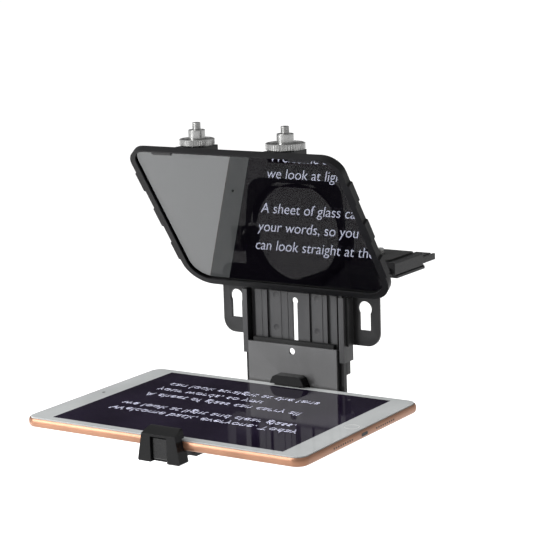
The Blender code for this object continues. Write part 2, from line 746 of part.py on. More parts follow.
def make_camera_plate():
    """Saddle on the base plate with a rubber pad, a camera screw and a lock knob."""
    sliding = pivot("camera_plate_slide", (0, CAMERA_Y, CAMERA_PLATE_TOP))
    underside = BASE_TOP + GAP
    half = [
        (BASE_HALF_WIDTH + GAP, BASE_BOTTOM + 0.4),
        (BASE_HALF_WIDTH + 4.0, BASE_BOTTOM + 0.4),
        (BASE_HALF_WIDTH + 4.0, CAMERA_PLATE_TOP - 1.0),
        (BASE_HALF_WIDTH + 3.0, CAMERA_PLATE_TOP),
    ]
    outline = mirrored(half)
    outline += [(-BASE_HALF_WIDTH - GAP, underside), (BASE_HALF_WIDTH + GAP, underside)]
    mesh = outline_mesh("saddle", [outline], 2 * CAMERA_PLATE_HALF_LENGTH)
    saddle = part("camera_plate", mesh, BLACK_METAL, sliding, facing_front(CAMERA_Y))
    drill(saddle, CAMERA_SCREW_RADIUS + 0.3, 30.0, "Z", (0, CAMERA_Y, underside), 24)
    drill(saddle, CAMERA_SCREW_HEAD + 0.3, 5.0, "Z", (0, CAMERA_Y, underside), 24)
    drill(saddle, KNOB_SPINDLE_HOLE, 10.0, "X", (-BASE_HALF_WIDTH - 3.0, CAMERA_Y, LOCK_KNOB_Z))

    pad_z = (CAMERA_PLATE_TOP + GAP, CAMERA_PAD_TOP)
    pad = [
        rounded_rectangle(-21.0, CAMERA_Y - 22.0, 21.0, CAMERA_Y + 22.0, 3.0, 3),
        circle(0, CAMERA_Y, CAMERA_SCREW_RADIUS + 0.3, 24),
    ]
    mesh = outline_mesh("pad", pad, pad_z[1] - pad_z[0])
    part("camera_pad", mesh, RUBBER, sliding, move_to(z=sum(pad_z) / 2))

    turning = pivot("camera_screw_axis", (0, CAMERA_Y, CAMERA_SCREW_TOP), sliding)
    profile = [
        (0.0, CAMERA_SCREW_TOP),
        (CAMERA_SCREW_RADIUS - 0.5, CAMERA_SCREW_TOP),
        (CAMERA_SCREW_RADIUS, CAMERA_SCREW_TOP - 0.5),
        (CAMERA_SCREW_RADIUS, underside + 2.2),
        (CAMERA_SCREW_HEAD, underside + 2.2),
        (CAMERA_SCREW_HEAD, underside + 0.1),
        (0.0, underside + 0.1),
    ]
    turned("camera_screw", profile, SILVER, move_to(y=CAMERA_Y), turning)

    axis = pivot("lock_knob_axis", (LOCK_KNOB_X[0], CAMERA_Y, LOCK_KNOB_Z), sliding)
    grip = LOCK_KNOB_X[1] - LOCK_KNOB_X[0]
    profile = [
        (0.0, grip),
        (LOCK_KNOB_RADIUS - 1.0, grip),
        (LOCK_KNOB_RADIUS, grip - 1.0),
        (LOCK_KNOB_RADIUS, 4.0),
        (4.5, 2.5),
        (4.5, 0.0),
        (KNOB_SPINDLE_RADIUS, 0.0),
        (KNOB_SPINDLE_RADIUS, -3.6),
        (0.0, -3.6),
    ]
    world = along("X", (LOCK_KNOB_X[1], CAMERA_Y, LOCK_KNOB_Z)) @ Matrix.Rotation(math.pi, 4, "X")
    turned("plate_lock_knob", profile, BLACK_PLASTIC, world, axis)


# ---------------------------------------------------------------- glass frame


def frame_world():
    """The glass frame's own axes: y up the slope, z out of the glass towards the reader."""
    turn = Matrix.Rotation(math.pi - FRAME_TILT, 4, "X")
    return move_to(y=HINGE_Y, z=HINGE_Z) @ turn


def on_frame(z_mid):
    return frame_world() @ move_to(z=z_mid)


def frame_loop(half_width, bottom, top, corners, pads=()):
    """A rounded outline in the frame's own plane; corners are its lower and upper radii."""
    lower, upper = corners
    half = arc(half_width - lower, bottom + lower, lower, -90, 0, 9)
    for start, end in pads:
        half += [
            (half_width, start),
            (half_width + FRAME_PAD_HEIGHT, start + FRAME_PAD_RAMP),
            (half_width + FRAME_PAD_HEIGHT, end - FRAME_PAD_RAMP),
            (half_width, end),
        ]
    half += arc(half_width - upper, top - upper, upper, 0, 90, 9)
    return mirrored(half)


def pocket_loop(inset):
    """The pane's pocket, drawn in by an inset all round."""
    corners = [radius - inset for radius in POCKET_CORNERS]
    return frame_loop(
        POCKET_HALF_WIDTH - inset, POCKET_BOTTOM + inset, POCKET_TOP - inset, corners
    )


def hinge_lug():
    """Lug outline in the frame's (y, z): a knuckle about the axis with a tail onto the rail."""
    points = [(-7.2, FRAME_BACK + 0.7), (-7.2, 1.6), (-2.4, -1.8)]
    points += arc(0, 0, KNUCKLE_RADIUS, 230, 450, 14)
    points += [(-5.7, KNUCKLE_RADIUS), (-5.7, FRAME_BACK + 0.7)]
    return points


def make_glass_frame(tilting):
    """Moulded frame with a front lip, a pocket for the pane, and hinge lugs on its lower rail."""
    outer = frame_loop(FRAME_HALF_WIDTH, FRAME_BOTTOM, FRAME_TOP, FRAME_CORNERS, FRAME_PADS)
    lip = frame_loop(LIP_HALF_WIDTH, LIP_BOTTOM, LIP_TOP, LIP_CORNERS)
    mesh = outline_mesh("frame", [outer, lip], FRAME_FRONT - FRAME_BACK)
    frame = part(
        "glass_frame", mesh, BLACK_PLASTIC, tilting, on_frame((FRAME_FRONT + FRAME_BACK) / 2)
    )
    depth = 2 * (LIP_BACK - FRAME_BACK)
    cut(frame, outline_mesh("pocket", [pocket_loop(0.0)], depth), on_frame(FRAME_BACK))
    sideways = Matrix(((0, 0, 1, 0), (1, 0, 0, 0), (0, 1, 0, 0), (0, 0, 0, 1)))
    for sign in SIDES.values():
        middle = sign * sum(LUG_X) / 2
        lug = outline_mesh("lug", [hinge_lug()], LUG_X[1] - LUG_X[0])
        join(frame, lug, on_frame(0.0) @ move_to(x=middle) @ sideways)
        bore = rod_mesh("bore", PIN_HOLE_RADIUS, LUG_X[1] - LUG_X[0] + 4.0, SCREW_SIDES)
        across = Matrix.Rotation(math.radians(90), 4, "Y")
        cut(frame, bore, on_frame(0.0) @ move_to(x=middle) @ across)

    mesh = outline_mesh("pane", [pocket_loop(GAP)], PANE_FRONT - PANE_BACK)
    part("beam_splitter", mesh, GLASS, tilting, on_frame((PANE_FRONT + PANE_BACK) / 2))
    ring = [pocket_loop(GAP), pocket_loop(GAP + RETAINER_WIDTH)]
    mesh = outline_mesh("retainer", ring, RETAINER_FRONT - RETAINER_BACK)
    world = on_frame((RETAINER_FRONT + RETAINER_BACK) / 2)
    part("glass_retainer", mesh, BLACK_PLASTIC, tilting, world)

    for side, sign in SIDES.items():
        clip_x = sorted(sign * x for x in CLIP_X)
        clip_y = (LIP_TOP - GAP - CLIP_HEIGHT, LIP_TOP - GAP)
        clip = box_mesh("clip", clip_x, clip_y, (LIP_BACK, FRAME_FRONT - 0.7))
        part("glass_clip_" + side, clip, BLACK_PLASTIC, tilting, on_frame(0.0))


def make_hinges():
    """Hinge leaves on the lens board, and the pins through them and the frame's lugs."""
    for side, sign in SIDES.items():
        z0, z1 = LEAF_Z
        outline = [(BOARD_FRONT - GAP, z0), (BOARD_FRONT - GAP, z1), (LEAF_FRONT, z1)]
        outline += [(LEAF_FRONT, HINGE_Z + KNUCKLE_RADIUS)]
        outline += arc(HINGE_Y, HINGE_Z, KNUCKLE_RADIUS, 90, 270, 14)
        outline += [(LEAF_FRONT, HINGE_Z - KNUCKLE_RADIUS), (LEAF_FRONT, z0)]
        bore = circle(HINGE_Y, HINGE_Z, PIN_HOLE_RADIUS, SCREW_SIDES)
        mesh = outline_mesh("leaf", [outline, bore], KNUCKLE_X[1] - KNUCKLE_X[0])
        world = facing_side(sign * sum(KNUCKLE_X) / 2)
        part("hinge_leaf_" + side, mesh, BLACK_METAL, world=world)
        length = KNUCKLE_X[1] - LUG_X[0] + 1.0
        pin = rod_mesh("pin", PIN_RADIUS, length, SCREW_SIDES)
        at = (sign * (KNUCKLE_X[1] + LUG_X[0]) / 2, HINGE_Y, HINGE_Z)
        part("hinge_pin_" + side, pin, SILVER, world=along("X", at))


def make_cold_shoes(tilting):
    """Cold shoes behind the frame's top rail. Each adapter slides in one and has a lock ring."""
    for side, sign in SIDES.items():
        x = sign * SHOE_X
        mesh = outline_mesh("shoe", [SHOE_PROFILE], 2 * SHOE_HALF_WIDTH)
        shoe = part("cold_shoe_" + side, mesh, BLACK_METAL, tilting, facing_side(x))
        wide = (x - SHOE_SLOT_HALF_WIDTH, x + SHOE_SLOT_HALF_WIDTH)
        narrow = (x - SHOE_MOUTH_HALF_WIDTH, x + SHOE_MOUTH_HALF_WIDTH)
        floor = SHOE_FOOT_Z[0] - 0.2
        cut(shoe, box_mesh("slot", wide, (SHOE_SLOT_FRONT, -215.0), (floor, SHOE_FOOT_Z[1] + 0.2)))
        cut(shoe, box_mesh("mouth", narrow, (SHOE_SLOT_FRONT, -215.0), (floor + 0.5, SHOE_TOP + 2)))

        sliding = pivot("shoe_adapter_slide_" + side, (x, SHOE_Y, SHOE_TOP), tilting)
        half_foot = SHOE_FOOT_SIZE / 2
        foot = box_mesh(
            "foot", (x - half_foot, x + half_foot), (SHOE_Y - half_foot, SHOE_Y + half_foot), SHOE_FOOT_Z
        )
        adapter = part("shoe_adapter_" + side, foot, SILVER, sliding)
        stem_z = (SHOE_FOOT_Z[0] + 0.6, STEM_TOP)
        stem = rod_mesh("stem", STEM_RADIUS, stem_z[1] - stem_z[0], 24)
        join(adapter, stem, along("Z", (x, SHOE_Y, sum(stem_z) / 2)))
        stud = rod_mesh("stud", STUD_RADIUS, STUD_LENGTH, 24)
        join(adapter, stud, along("Z", (x, SHOE_Y, STUD_TOP - STUD_LENGTH / 2)))

        turning = pivot("shoe_ring_axis_" + side, (x, SHOE_Y, RING_Z[0]), sliding)
        ring = [circle(0, 0, RING_RADII[side], 48), circle(0, 0, STEM_RADIUS + 0.35, 24)]
        mesh = outline_mesh("ring", ring, RING_Z[1] - RING_Z[0])
        world = move_to(x, SHOE_Y, sum(RING_Z) / 2)
        part("shoe_ring_" + side, mesh, SILVER, turning, world, bevel=0.6)


# ---------------------------------------------------------------- tablet clamp


def make_lower_plate(sliding):
    """Face plate in front of the channels, on two rails that run inside them."""
    outline = [
        rectangle(-PLATE_HALF_WIDTH, PLATE_BOTTOM, PLATE_HALF_WIDTH, PLATE_TOP),
        circle(0, PLATE_HOLE_Z, PLATE_HOLE_RADIUS, 24),
    ]
    for s in SIDES.values():
        outline += [circle(s * REAR_JAW_SCREW_X, REAR_JAW_SCREW_Z, SCREW_HOLE, SCREW_SIDES)]
        outline += [circle(s * ARM_SCREW_X, ARM_SCREW_Z, SCREW_HOLE, SCREW_SIDES)]
    mesh = outline_mesh("plate", outline, PLATE_BACK - PLATE_FRONT)
    part("lower_plate", mesh, GREY_METAL, sliding, facing_front((PLATE_FRONT + PLATE_BACK) / 2))
    for side, sign in SIDES.items():
        profile = [
            (RAIL_INNER_X, PLATE_BACK + GAP),
            (RAIL_FRONT_X, PLATE_BACK + GAP),
            (RAIL_FRONT_X, RAIL_STEP_Y),
            (RAIL_OUTER_X, RAIL_STEP_Y),
            (RAIL_OUTER_X, RAIL_BACK),
            (RAIL_STEP_X, RAIL_BACK),
            (RAIL_STEP_X, PANEL_FRONT - 0.4),
            (RAIL_INNER_X, PANEL_FRONT - 0.4),
        ]
        profile = [(sign * x, y) for x, y in profile]
        mesh = outline_mesh("rail", [profile], RAIL_TOP - RAIL_BOTTOM)
        middle = (RAIL_TOP + RAIL_BOTTOM) / 2
        part("lower_rail_" + side, mesh, BLACK_METAL, sliding, move_to(z=middle))
        shoe_x = sorted((sign * RAIL_STEP_X, sign * RAIL_OUTER_X))
        shoe = box_mesh("shoe", shoe_x, SLIDE_SHOE_Y, SLIDE_SHOE_Z)
        part("slide_shoe_" + side, shoe, BLACK_PLASTIC, sliding)


def jaw_outline(z, half_widths):
    """Trapezoid with rounded shoulders; half widths at its top, shoulder and foot."""
    bottom, top = z
    crown, shoulder, foot = half_widths
    half = [(foot - 1.0, bottom), (foot, bottom + 1.0), (shoulder, top - JAW_SHOULDER_DROP)]
    half += [(crown + 0.62 * (shoulder - crown), top - JAW_SHOULDER_DROP / 3), (crown, top)]
    return mirrored(half)


def make_rear_jaw(sliding):
    """Fixed hook over the tablet's far edge, with a rubber pad under it."""
    outline = jaw_outline(REAR_JAW_Z, REAR_JAW_HALF_WIDTHS)
    mesh = outline_mesh("rear_jaw", [outline], REAR_JAW_Y[1] - REAR_JAW_Y[0])
    jaw = part("rear_jaw", mesh, BLACK_PLASTIC, sliding, facing_front(sum(REAR_JAW_Y) / 2))
    under = box_mesh("throat", (-30, 30), (-185, REAR_JAW_STEM), (-80, REAR_JAW_UNDER))
    cut(jaw, under)
    for side, sign in SIDES.items():
        x = sign * REAR_JAW_SCREW_X
        drill(jaw, SCREW_HOLE, 8.0, "Y", (x, REAR_JAW_Y[1], REAR_JAW_SCREW_Z))
        at = (x, PLATE_BACK + 0.1, REAR_JAW_SCREW_Z)
        socket_screw("rear_jaw_screw_" + side, at, "+Y", 2.4, 1.5, SCREW_SHANK, 4.8, sliding)
    pad_x = (-REAR_JAW_PAD_HALF_WIDTH, REAR_JAW_PAD_HALF_WIDTH)
    pad = box_mesh("pad", pad_x, REAR_JAW_PAD_Y, (TABLET_TOP + GAP, REAR_JAW_UNDER - GAP))
    part("rear_jaw_pad", pad, RUBBER, sliding)


def make_arm(sliding):
    """Square tube under the tablet, open at its front end, flanged to the lower plate."""
    outer = rounded_rectangle(-ARM_HALF_WIDTH, ARM_BOTTOM, ARM_HALF_WIDTH, ARM_TOP, 1.2, 2)
    inner_x = ARM_HALF_WIDTH - ARM_WALL
    inner = rectangle(-inner_x, ARM_BOTTOM + 2.3, inner_x, ARM_TOP - 1.9)
    mesh = outline_mesh("arm", [outer, inner], ARM_BACK - ARM_FRONT)
    arm = part("tablet_arm", mesh, BLACK_METAL, sliding, facing_front((ARM_BACK + ARM_FRONT) / 2))
    for side, sign in SIDES.items():
        flange_x = sorted((sign * (ARM_HALF_WIDTH - 0.6), sign * ARM_FLANGE_HALF_WIDTH))
        flange = box_mesh("flange", flange_x, (ARM_FLANGE_FRONT, ARM_BACK), (ARM_BOTTOM, ARM_TOP))
        join(arm, flange)
        drill(arm, SCREW_HOLE, 8.0, "Y", (sign * ARM_SCREW_X, ARM_BACK, ARM_SCREW_Z))
        at = (sign * ARM_SCREW_X, ARM_FLANGE_FRONT - 0.1, ARM_SCREW_Z)
        socket_screw("arm_screw_" + side, at, "-Y", 2.6, 1.6, SCREW_SHANK, 3.6, sliding)
    strip_z = (ARM_TOP + GAP, TABLET_TOP - TABLET_THICKNESS - GAP)
    strip = box_mesh("strip", (-10.5, 10.5), (ARM_FRONT + 3, -172.0), strip_z)
    part("arm_pad", strip, RUBBER, sliding)


def front_jaw_slope():
    """What is cut off above the jaw's sloping top, in (Y, Z)."""
    back = (FRONT_JAW_SLOPE_Y, FRONT_JAW_Z[1])
    front = (FRONT_JAW_Y[0], FRONT_JAW_FRONT_EDGE)
    beyond = (2 * front[0] - back[0], 2 * front[1] - back[1])
    above = FRONT_JAW_Z[1] + 5.0
    return [back, (back[0], above), (beyond[0], above), beyond]


def make_front_jaw(sliding):
    """Moving jaw on a bar that slides in the arm, with a press button in its recess."""
    pulling = pivot("front_jaw_slide", (0, FRONT_JAW_THROAT_Y, BAR_Z[0]), sliding)
    bar = box_mesh("bar", (-BAR_HALF_WIDTH, BAR_HALF_WIDTH), BAR_Y, BAR_Z)
    part("jaw_bar", bar, BLACK_METAL, pulling)
    outline = jaw_outline(FRONT_JAW_Z, FRONT_JAW_HALF_WIDTHS)
    mesh = outline_mesh("front_jaw", [outline], FRONT_JAW_Y[1] - FRONT_JAW_Y[0])
    jaw = part("front_jaw", mesh, BLACK_PLASTIC, pulling, facing_front(sum(FRONT_JAW_Y) / 2))
    cut(jaw, box_mesh("throat", (-30, 30), (FRONT_JAW_THROAT_Y, -330), FRONT_JAW_THROAT_Z))
    cut(jaw, outline_mesh("slope", [front_jaw_slope()], 60.0), facing_side(0.0))
    recess_x = (-RECESS_HALF_WIDTH, RECESS_HALF_WIDTH)
    cut(jaw, box_mesh("recess", recess_x, (-360, RECESS_BACK), (-90, RECESS_TOP)))
    socket_x = (-BAR_HALF_WIDTH - GAP, BAR_HALF_WIDTH + GAP)
    socket_z = (BAR_Z[0] - GAP, BAR_Z[1] + GAP)
    cut(jaw, box_mesh("socket", socket_x, (BAR_Y[0] - GAP, -330), socket_z))
    pad_z = (TABLET_TOP + GAP, FRONT_JAW_THROAT_Z[1] - GAP)
    pad_x = (-FRONT_JAW_PAD_HALF_WIDTH, FRONT_JAW_PAD_HALF_WIDTH)
    part("front_jaw_pad", box_mesh("pad", pad_x, FRONT_JAW_PAD_Y, pad_z), RUBBER, pulling)

    pressing = pivot("jaw_button_slide", (0, BUTTON_Y[0], sum(BUTTON_Z) / 2), pulling)
    button_x = (BUTTON_CLEARANCE - RECESS_HALF_WIDTH, RECESS_HALF_WIDTH - BUTTON_CLEARANCE)
    button = box_mesh("button", button_x, BUTTON_Y, BUTTON_Z)
    part("jaw_button", button, BLACK_PLASTIC, pressing, bevel=0.5)


def tablet_outline(inset):
    half_x = TABLET_SIZE[0] / 2 - inset
    half_y = TABLET_SIZE[1] / 2 - inset
    x0 = TABLET_X - half_x
    x1 = TABLET_X + half_x
    y0 = TABLET_Y - half_y
    y1 = TABLET_Y + half_y
    return rounded_rectangle(x0, y0, x1, y1, TABLET_CORNER - inset, 6)


def make_tablet(sliding):
    """Tablet in the clamp: tray-shaped shell, battery block, front glass and home button."""
    bottom = TABLET_TOP - TABLET_THICKNESS
    resting = pivot("tablet_slide", (TABLET_X, TABLET_Y, bottom), sliding)
    shell_top = TABLET_TOP - 0.4
    mesh = outline_mesh("shell", [tablet_outline(0.0)], shell_top - bottom)
    world = move_to(z=(shell_top + bottom) / 2)
    shell = part("tablet_shell", mesh, TABLET_SHELL, resting, world, TABLET_EDGE_BEVEL)
    floor = bottom + TABLET_FLOOR
    hollow = outline_mesh("hollow", [tablet_outline(TABLET_WALL)], 20.0)
    cut(shell, hollow, move_to(z=floor + 10.0))
    glass_z = (TABLET_TOP - TABLET_GLASS, TABLET_TOP)
    face = outline_mesh(
        "face",
        [tablet_outline(TABLET_GLASS_INSET), circle(HOME_BUTTON_X, TABLET_Y, HOME_BUTTON_RADIUS + GAP)],
        glass_z[1] - glass_z[0],
    )
    part("tablet_screen", face, TABLET_FACE, resting, move_to(z=sum(glass_z) / 2))
    core_z = (floor + GAP, glass_z[0] - 0.7)
    core = outline_mesh("core", [tablet_outline(TABLET_CORE_INSET)], core_z[1] - core_z[0])
    part("tablet_battery", core, BLACK_PLASTIC, resting, move_to(z=sum(core_z) / 2))
    at = (HOME_BUTTON_X, TABLET_Y, TABLET_TOP - 0.45)
    pressing = pivot("home_button_slide", at, resting)
    button = rod_mesh("home", HOME_BUTTON_RADIUS, 0.9, 32)
    part("home_button", button, TABLET_FACE, pressing, along("Z", at))


def main():
    make_body_profile()
    make_lens_board()
    make_ears()
    make_wings()
    make_rear_plate()
    make_base_plate()
    make_tripod_foot()
    make_camera_plate()
    tilting = pivot("glass_tilt_axis", (0, HINGE_Y, HINGE_Z))
    make_glass_frame(tilting)
    make_hinges()
    make_cold_shoes(tilting)
    sliding = pivot("lower_plate_slide", (0, PLATE_FRONT, PLATE_TOP))
    make_lower_plate(sliding)
    make_rear_jaw(sliding)
    make_arm(sliding)
    make_front_jaw(sliding)
    make_tablet(sliding)


main()
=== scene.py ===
"""Looks of the tablet teleprompter: rounded edges, knurling, screws, glass, tablet and finishes."""

import json
import math

import bmesh
import bpy
from mathutils import Matrix, Vector


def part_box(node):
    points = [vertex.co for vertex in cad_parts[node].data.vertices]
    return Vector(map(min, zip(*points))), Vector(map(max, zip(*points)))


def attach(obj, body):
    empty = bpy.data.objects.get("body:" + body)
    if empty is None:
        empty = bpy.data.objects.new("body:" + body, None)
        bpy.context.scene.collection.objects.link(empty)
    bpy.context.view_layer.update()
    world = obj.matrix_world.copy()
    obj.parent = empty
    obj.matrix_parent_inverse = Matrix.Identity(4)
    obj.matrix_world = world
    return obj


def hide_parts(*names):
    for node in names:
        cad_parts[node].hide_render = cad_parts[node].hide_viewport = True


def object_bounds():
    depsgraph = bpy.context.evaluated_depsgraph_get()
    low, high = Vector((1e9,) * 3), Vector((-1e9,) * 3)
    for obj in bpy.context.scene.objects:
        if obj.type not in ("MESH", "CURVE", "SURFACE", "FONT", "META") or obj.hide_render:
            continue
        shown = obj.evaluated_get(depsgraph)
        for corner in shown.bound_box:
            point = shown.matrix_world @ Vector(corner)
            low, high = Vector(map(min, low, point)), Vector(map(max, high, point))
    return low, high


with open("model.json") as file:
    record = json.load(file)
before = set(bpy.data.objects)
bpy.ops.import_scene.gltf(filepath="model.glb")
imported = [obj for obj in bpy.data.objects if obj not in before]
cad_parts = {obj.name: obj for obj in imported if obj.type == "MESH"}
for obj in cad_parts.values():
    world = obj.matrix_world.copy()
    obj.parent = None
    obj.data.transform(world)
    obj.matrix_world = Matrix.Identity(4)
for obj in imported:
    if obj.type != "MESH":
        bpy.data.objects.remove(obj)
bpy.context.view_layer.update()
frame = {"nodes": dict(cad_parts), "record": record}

NODES = frame["nodes"]
BODIES = frame["record"]["behaviour"]["bodies"]
BODY_OF = {node: body for body, members in BODIES.items() for node in members}
SLOT_OF = {row["node"]: row["material_slot"] for row in frame["record"]["subparts"]}
MM = 0.001

# The picture's camera, in metres and degrees
CAMERA_AT = Vector((0.7883, -1.4099, 0.3116))
CAMERA_AZIMUTH = math.radians(32.825)
CAMERA_ELEVATION = math.radians(10.935)
CAMERA_ROLL = math.radians(-1.704)
CAMERA_LENS = 123.6
CAMERA_SENSOR = 36.0

# Studio: a wide pale floor, soft overhead light and three softboxes; each softbox has a
# place, a target, a size, a power, and whether shiny faces mirror it
FLOOR_BELOW = 0.26
FLOOR_HALF = 60.0
FLOOR_GREY = 0.93
FLAG_AT = (0.0, 2.8, 0.68)
FLAG_SIZE = (2.6, 0.02, 1.0)
FLAG_GREY = 0.012
# The sky goes from wall to ceiling between two heights of its direction, over a white band that
# meets the floor's far edge
WALL_GREY = 0.22
CEILING_GREY = 0.72
SKY_BLEND = (0.17, 0.45)
HORIZON_BAND = 0.11
SUN_STRENGTH = 1.9
SUN_SIZE = math.radians(35)
SUN_TURN = (math.radians(34), math.radians(-26), 0.0)
SOFTBOXES = (
    ("front_left", (-1.5, -2.1, 0.75), (0.0, -0.16, 0.0), (1.1, 1.3), 52, True),
    ("left", (-1.4, -0.62, 0.45), (0.0, -0.16, 0.06), (0.5, 0.9), 34, False),
    ("right_back", (1.5, 0.9, 0.9), (0.0, -0.1, 0.0), (0.9, 0.9), 6, False),
)

# Beam splitter: how much its coat and its tinted back cover, and what the coat reflects
COAT_COLOUR = (0.108, 0.110, 0.112)
COAT_COVER = 0.86
TINT_COVER = 0.12

# Rounding a CAD piece: corners closer than this are one, faces flatter than this are one, and
# edges sharper than this are rounded; what the rounding leaves too close together is joined
SAME_CORNER = 1e-6
SAME_FACE = math.radians(0.5)
SHARP_EDGE = math.radians(32)
LEFT_OVER = 3e-6

# Rings and the adapter stems inside them
RING_BORE = 6.75 * MM
STEM_RADIUS = 6.45 * MM
FOOT_THICKNESS = 1.9 * MM
STUD_LENGTH = 5.2 * MM
SOCKET_DEPTH = 0.5 * MM

# Panel: how deep its middle floor lies behind its front face
PANEL_FLOOR_DEPTH = 4.5 * MM

# Black strip between the panel and the lower plate: painted shade for the shadowed gap there
STRIP_WIDTH = 0.0756
STRIP_DEPTH = 0.0042
STRIP_HEIGHT = 0.0052
STRIP_RISE = 0.0032

# Tablet
DISPLAY_SIZE = (0.2073, 0.1555)
BEZEL_COLOURS = ((0.30, 0.31, 0.31, 1), (0.34, 0.35, 0.35, 1))
DISPLAY_COLOURS = ((0.006, 0.004, 0.010, 1), (0.010, 0.007, 0.016, 1))
SHELL_CORNER = 10 * MM
SHELL_STEPS = 10
PORT_SIZE = (8.8 * MM, 2.4 * MM)
PORT_DEPTH = 0.25 * MM
HOLE_COUNT = 9
HOLE_RADIUS = 0.75 * MM
HOLE_START = 18
HOLE_PITCH = 3.2
PROMPT_LINES = (
    (-4.8, "Welcome back, everyone. Today"),
    (-3.9, "we look at light and clear glass."),
    (-2.0, "A sheet of glass can carry all"),
    (-1.0, "your words, so you"),
    (0.0, "can look straight at the lens"),
)
PROMPT_SIZE = 0.0126
PROMPT_SPACING = 0.0160
PROMPT_LEFT = -0.0905
PROMPT_LAST_Y = -0.2060
PROMPT_COLOUR = (0.80, 0.81, 1.0)
PROMPT_STRENGTH = 5.4
PROMPT_GRAZING = 0.06
PROMPT_THINNING = -0.00009
PROMPT_THICKNESS = 0.00002
PROMPT_LIFT = 0.00006


# ---------------------------------------------------------------- shader helpers


def new_material(name):
    made = bpy.data.materials.new(name)
    made.use_nodes = True
    return made, made.node_tree.nodes, made.node_tree.links


def add(nodes, kind, **values):
    """A new node with some of its inputs or properties set."""
    node = nodes.new(kind)
    for key, value in values.items():
        if key in node.inputs:
            node.inputs[key].default_value = value
        else:
            setattr(node, key, value)
    return node


def object_coordinates(nodes, links, scale):
    """Texture coordinates that stay with the piece."""
    place = add(nodes, "ShaderNodeTexCoord")
    mapping = add(nodes, "ShaderNodeMapping")
    mapping.inputs["Scale"].default_value = scale
    links.new(place.outputs["Object"], mapping.inputs["Vector"])
    return mapping.outputs["Vector"]


def ramp(nodes, links, source, low, high, start=0.35, end=0.65):
    """A colour that goes from low to high as the source goes from start to end."""
    node = add(nodes, "ShaderNodeValToRGB")
    node.color_ramp.elements[0].position = start
    node.color_ramp.elements[0].color = low
    node.color_ramp.elements[1].position = end
    node.color_ramp.elements[1].color = high
    links.new(source, node.inputs["Fac"])
    return node.outputs["Color"]


def grey(value):
    return (value, value, value, 1.0)


def finish(
    name,
    colour,
    roughness,
    metallic,
    grain,
    depth,
    stretch=(1, 1, 1),
    spread=0.08,
    edge_wear_and_highlight=0.3,
    specular=0.5,
):
    """A grained surface: colour and roughness drift, fine bump, and paler edges that are wear and a
    painted edge highlight.

    grain is the noise's scale and depth its bump in metres; spread is how far the roughness
    drifts, and the edge weight is how much paler the edges are, as wear and painted edge highlight.
    """
    made, nodes, links = new_material(name)
    shader = nodes["Principled BSDF"]
    shader.inputs["Metallic"].default_value = metallic
    shader.inputs["Specular IOR Level"].default_value = specular

    broad = add(nodes, "ShaderNodeTexNoise", Scale=28.0, Detail=4.0)
    links.new(object_coordinates(nodes, links, (1, 1, 1)), broad.inputs["Vector"])
    dark = tuple(c * 0.86 for c in colour) + (1.0,)
    light = tuple(min(1.0, c * 1.14) for c in colour) + (1.0,)
    drift = ramp(nodes, links, broad.outputs["Fac"], dark, light)

    shape = add(nodes, "ShaderNodeNewGeometry")
    # paler edges: wear together with a painted edge highlight
    edge = ramp(nodes, links, shape.outputs["Pointiness"], grey(0.0), grey(edge_wear_and_highlight), 0.52, 0.6)
    wear_and_highlight = add(nodes, "ShaderNodeMix", data_type="RGBA")
    wear_and_highlight.inputs["B"].default_value = tuple(min(1.0, c * 1.8 + 0.02) for c in colour) + (1.0,)
    links.new(edge, wear_and_highlight.inputs["Factor"])
    links.new(drift, wear_and_highlight.inputs["A"])
    links.new(wear_and_highlight.outputs["Result"], shader.inputs["Base Color"])

    fine = add(nodes, "ShaderNodeTexNoise", Scale=grain, Detail=3.0)
    links.new(object_coordinates(nodes, links, stretch), fine.inputs["Vector"])
    rough = ramp(
        nodes, links, fine.outputs["Fac"], grey(roughness - spread), grey(roughness + spread)
    )
    links.new(rough, shader.inputs["Roughness"])
    bump = add(nodes, "ShaderNodeBump", Strength=0.5, Distance=depth)
    links.new(fine.outputs["Fac"], bump.inputs["Height"])
    links.new(bump.outputs["Normal"], shader.inputs["Normal"])
    return made


# ---------------------------------------------------------------- finishes


BRUSHED = (1.0, 1.0, 0.04)
BLACK_ANODISED = finish(
    "black_anodised_looks", (0.009, 0.009, 0.0095), 0.34, 0.0, 2600, 1e-5, edge_wear_and_highlight=0.12, specular=0.14
)
GRAPHITE = finish(
    "graphite_looks",
    (0.033, 0.033, 0.034),
    0.38,
    0.4,
    900,
    6e-6,
    stretch=BRUSHED,
    spread=0.05,
    specular=0.25,
)
# graphite painted lighter for the lower plate: a painted sheen standing in for the softbox
# reflection on it
GRAPHITE_PAINTED_SHEEN = finish(
    "graphite_painted_sheen_looks",
    (0.078, 0.078, 0.079),
    0.4,
    0.45,
    900,
    4e-6,
    stretch=BRUSHED,
    spread=0.04,
    specular=0.25,
)
BLACK_PLASTIC = finish(
    "black_plastic_looks", (0.005, 0.005, 0.0055), 0.3, 0.0, 2200, 3e-5, edge_wear_and_highlight=0.1, specular=0.2
)
FRAME_PLASTIC = finish(
    "frame_plastic_looks", (0.005, 0.005, 0.0055), 0.42, 0.0, 2200, 2e-5, edge_wear_and_highlight=0.05, specular=0.1
)
JAW_GLOSS = finish(
    "jaw_gloss_looks", (0.003, 0.003, 0.0033), 0.16, 0.0, 2600, 6e-6, edge_wear_and_highlight=0.1, specular=0.1
)
WING_PLATE = finish(
    "wing_plate_looks", (0.016, 0.016, 0.0165), 0.36, 0.3, 900, 6e-6, spread=0.05, specular=0.15
)
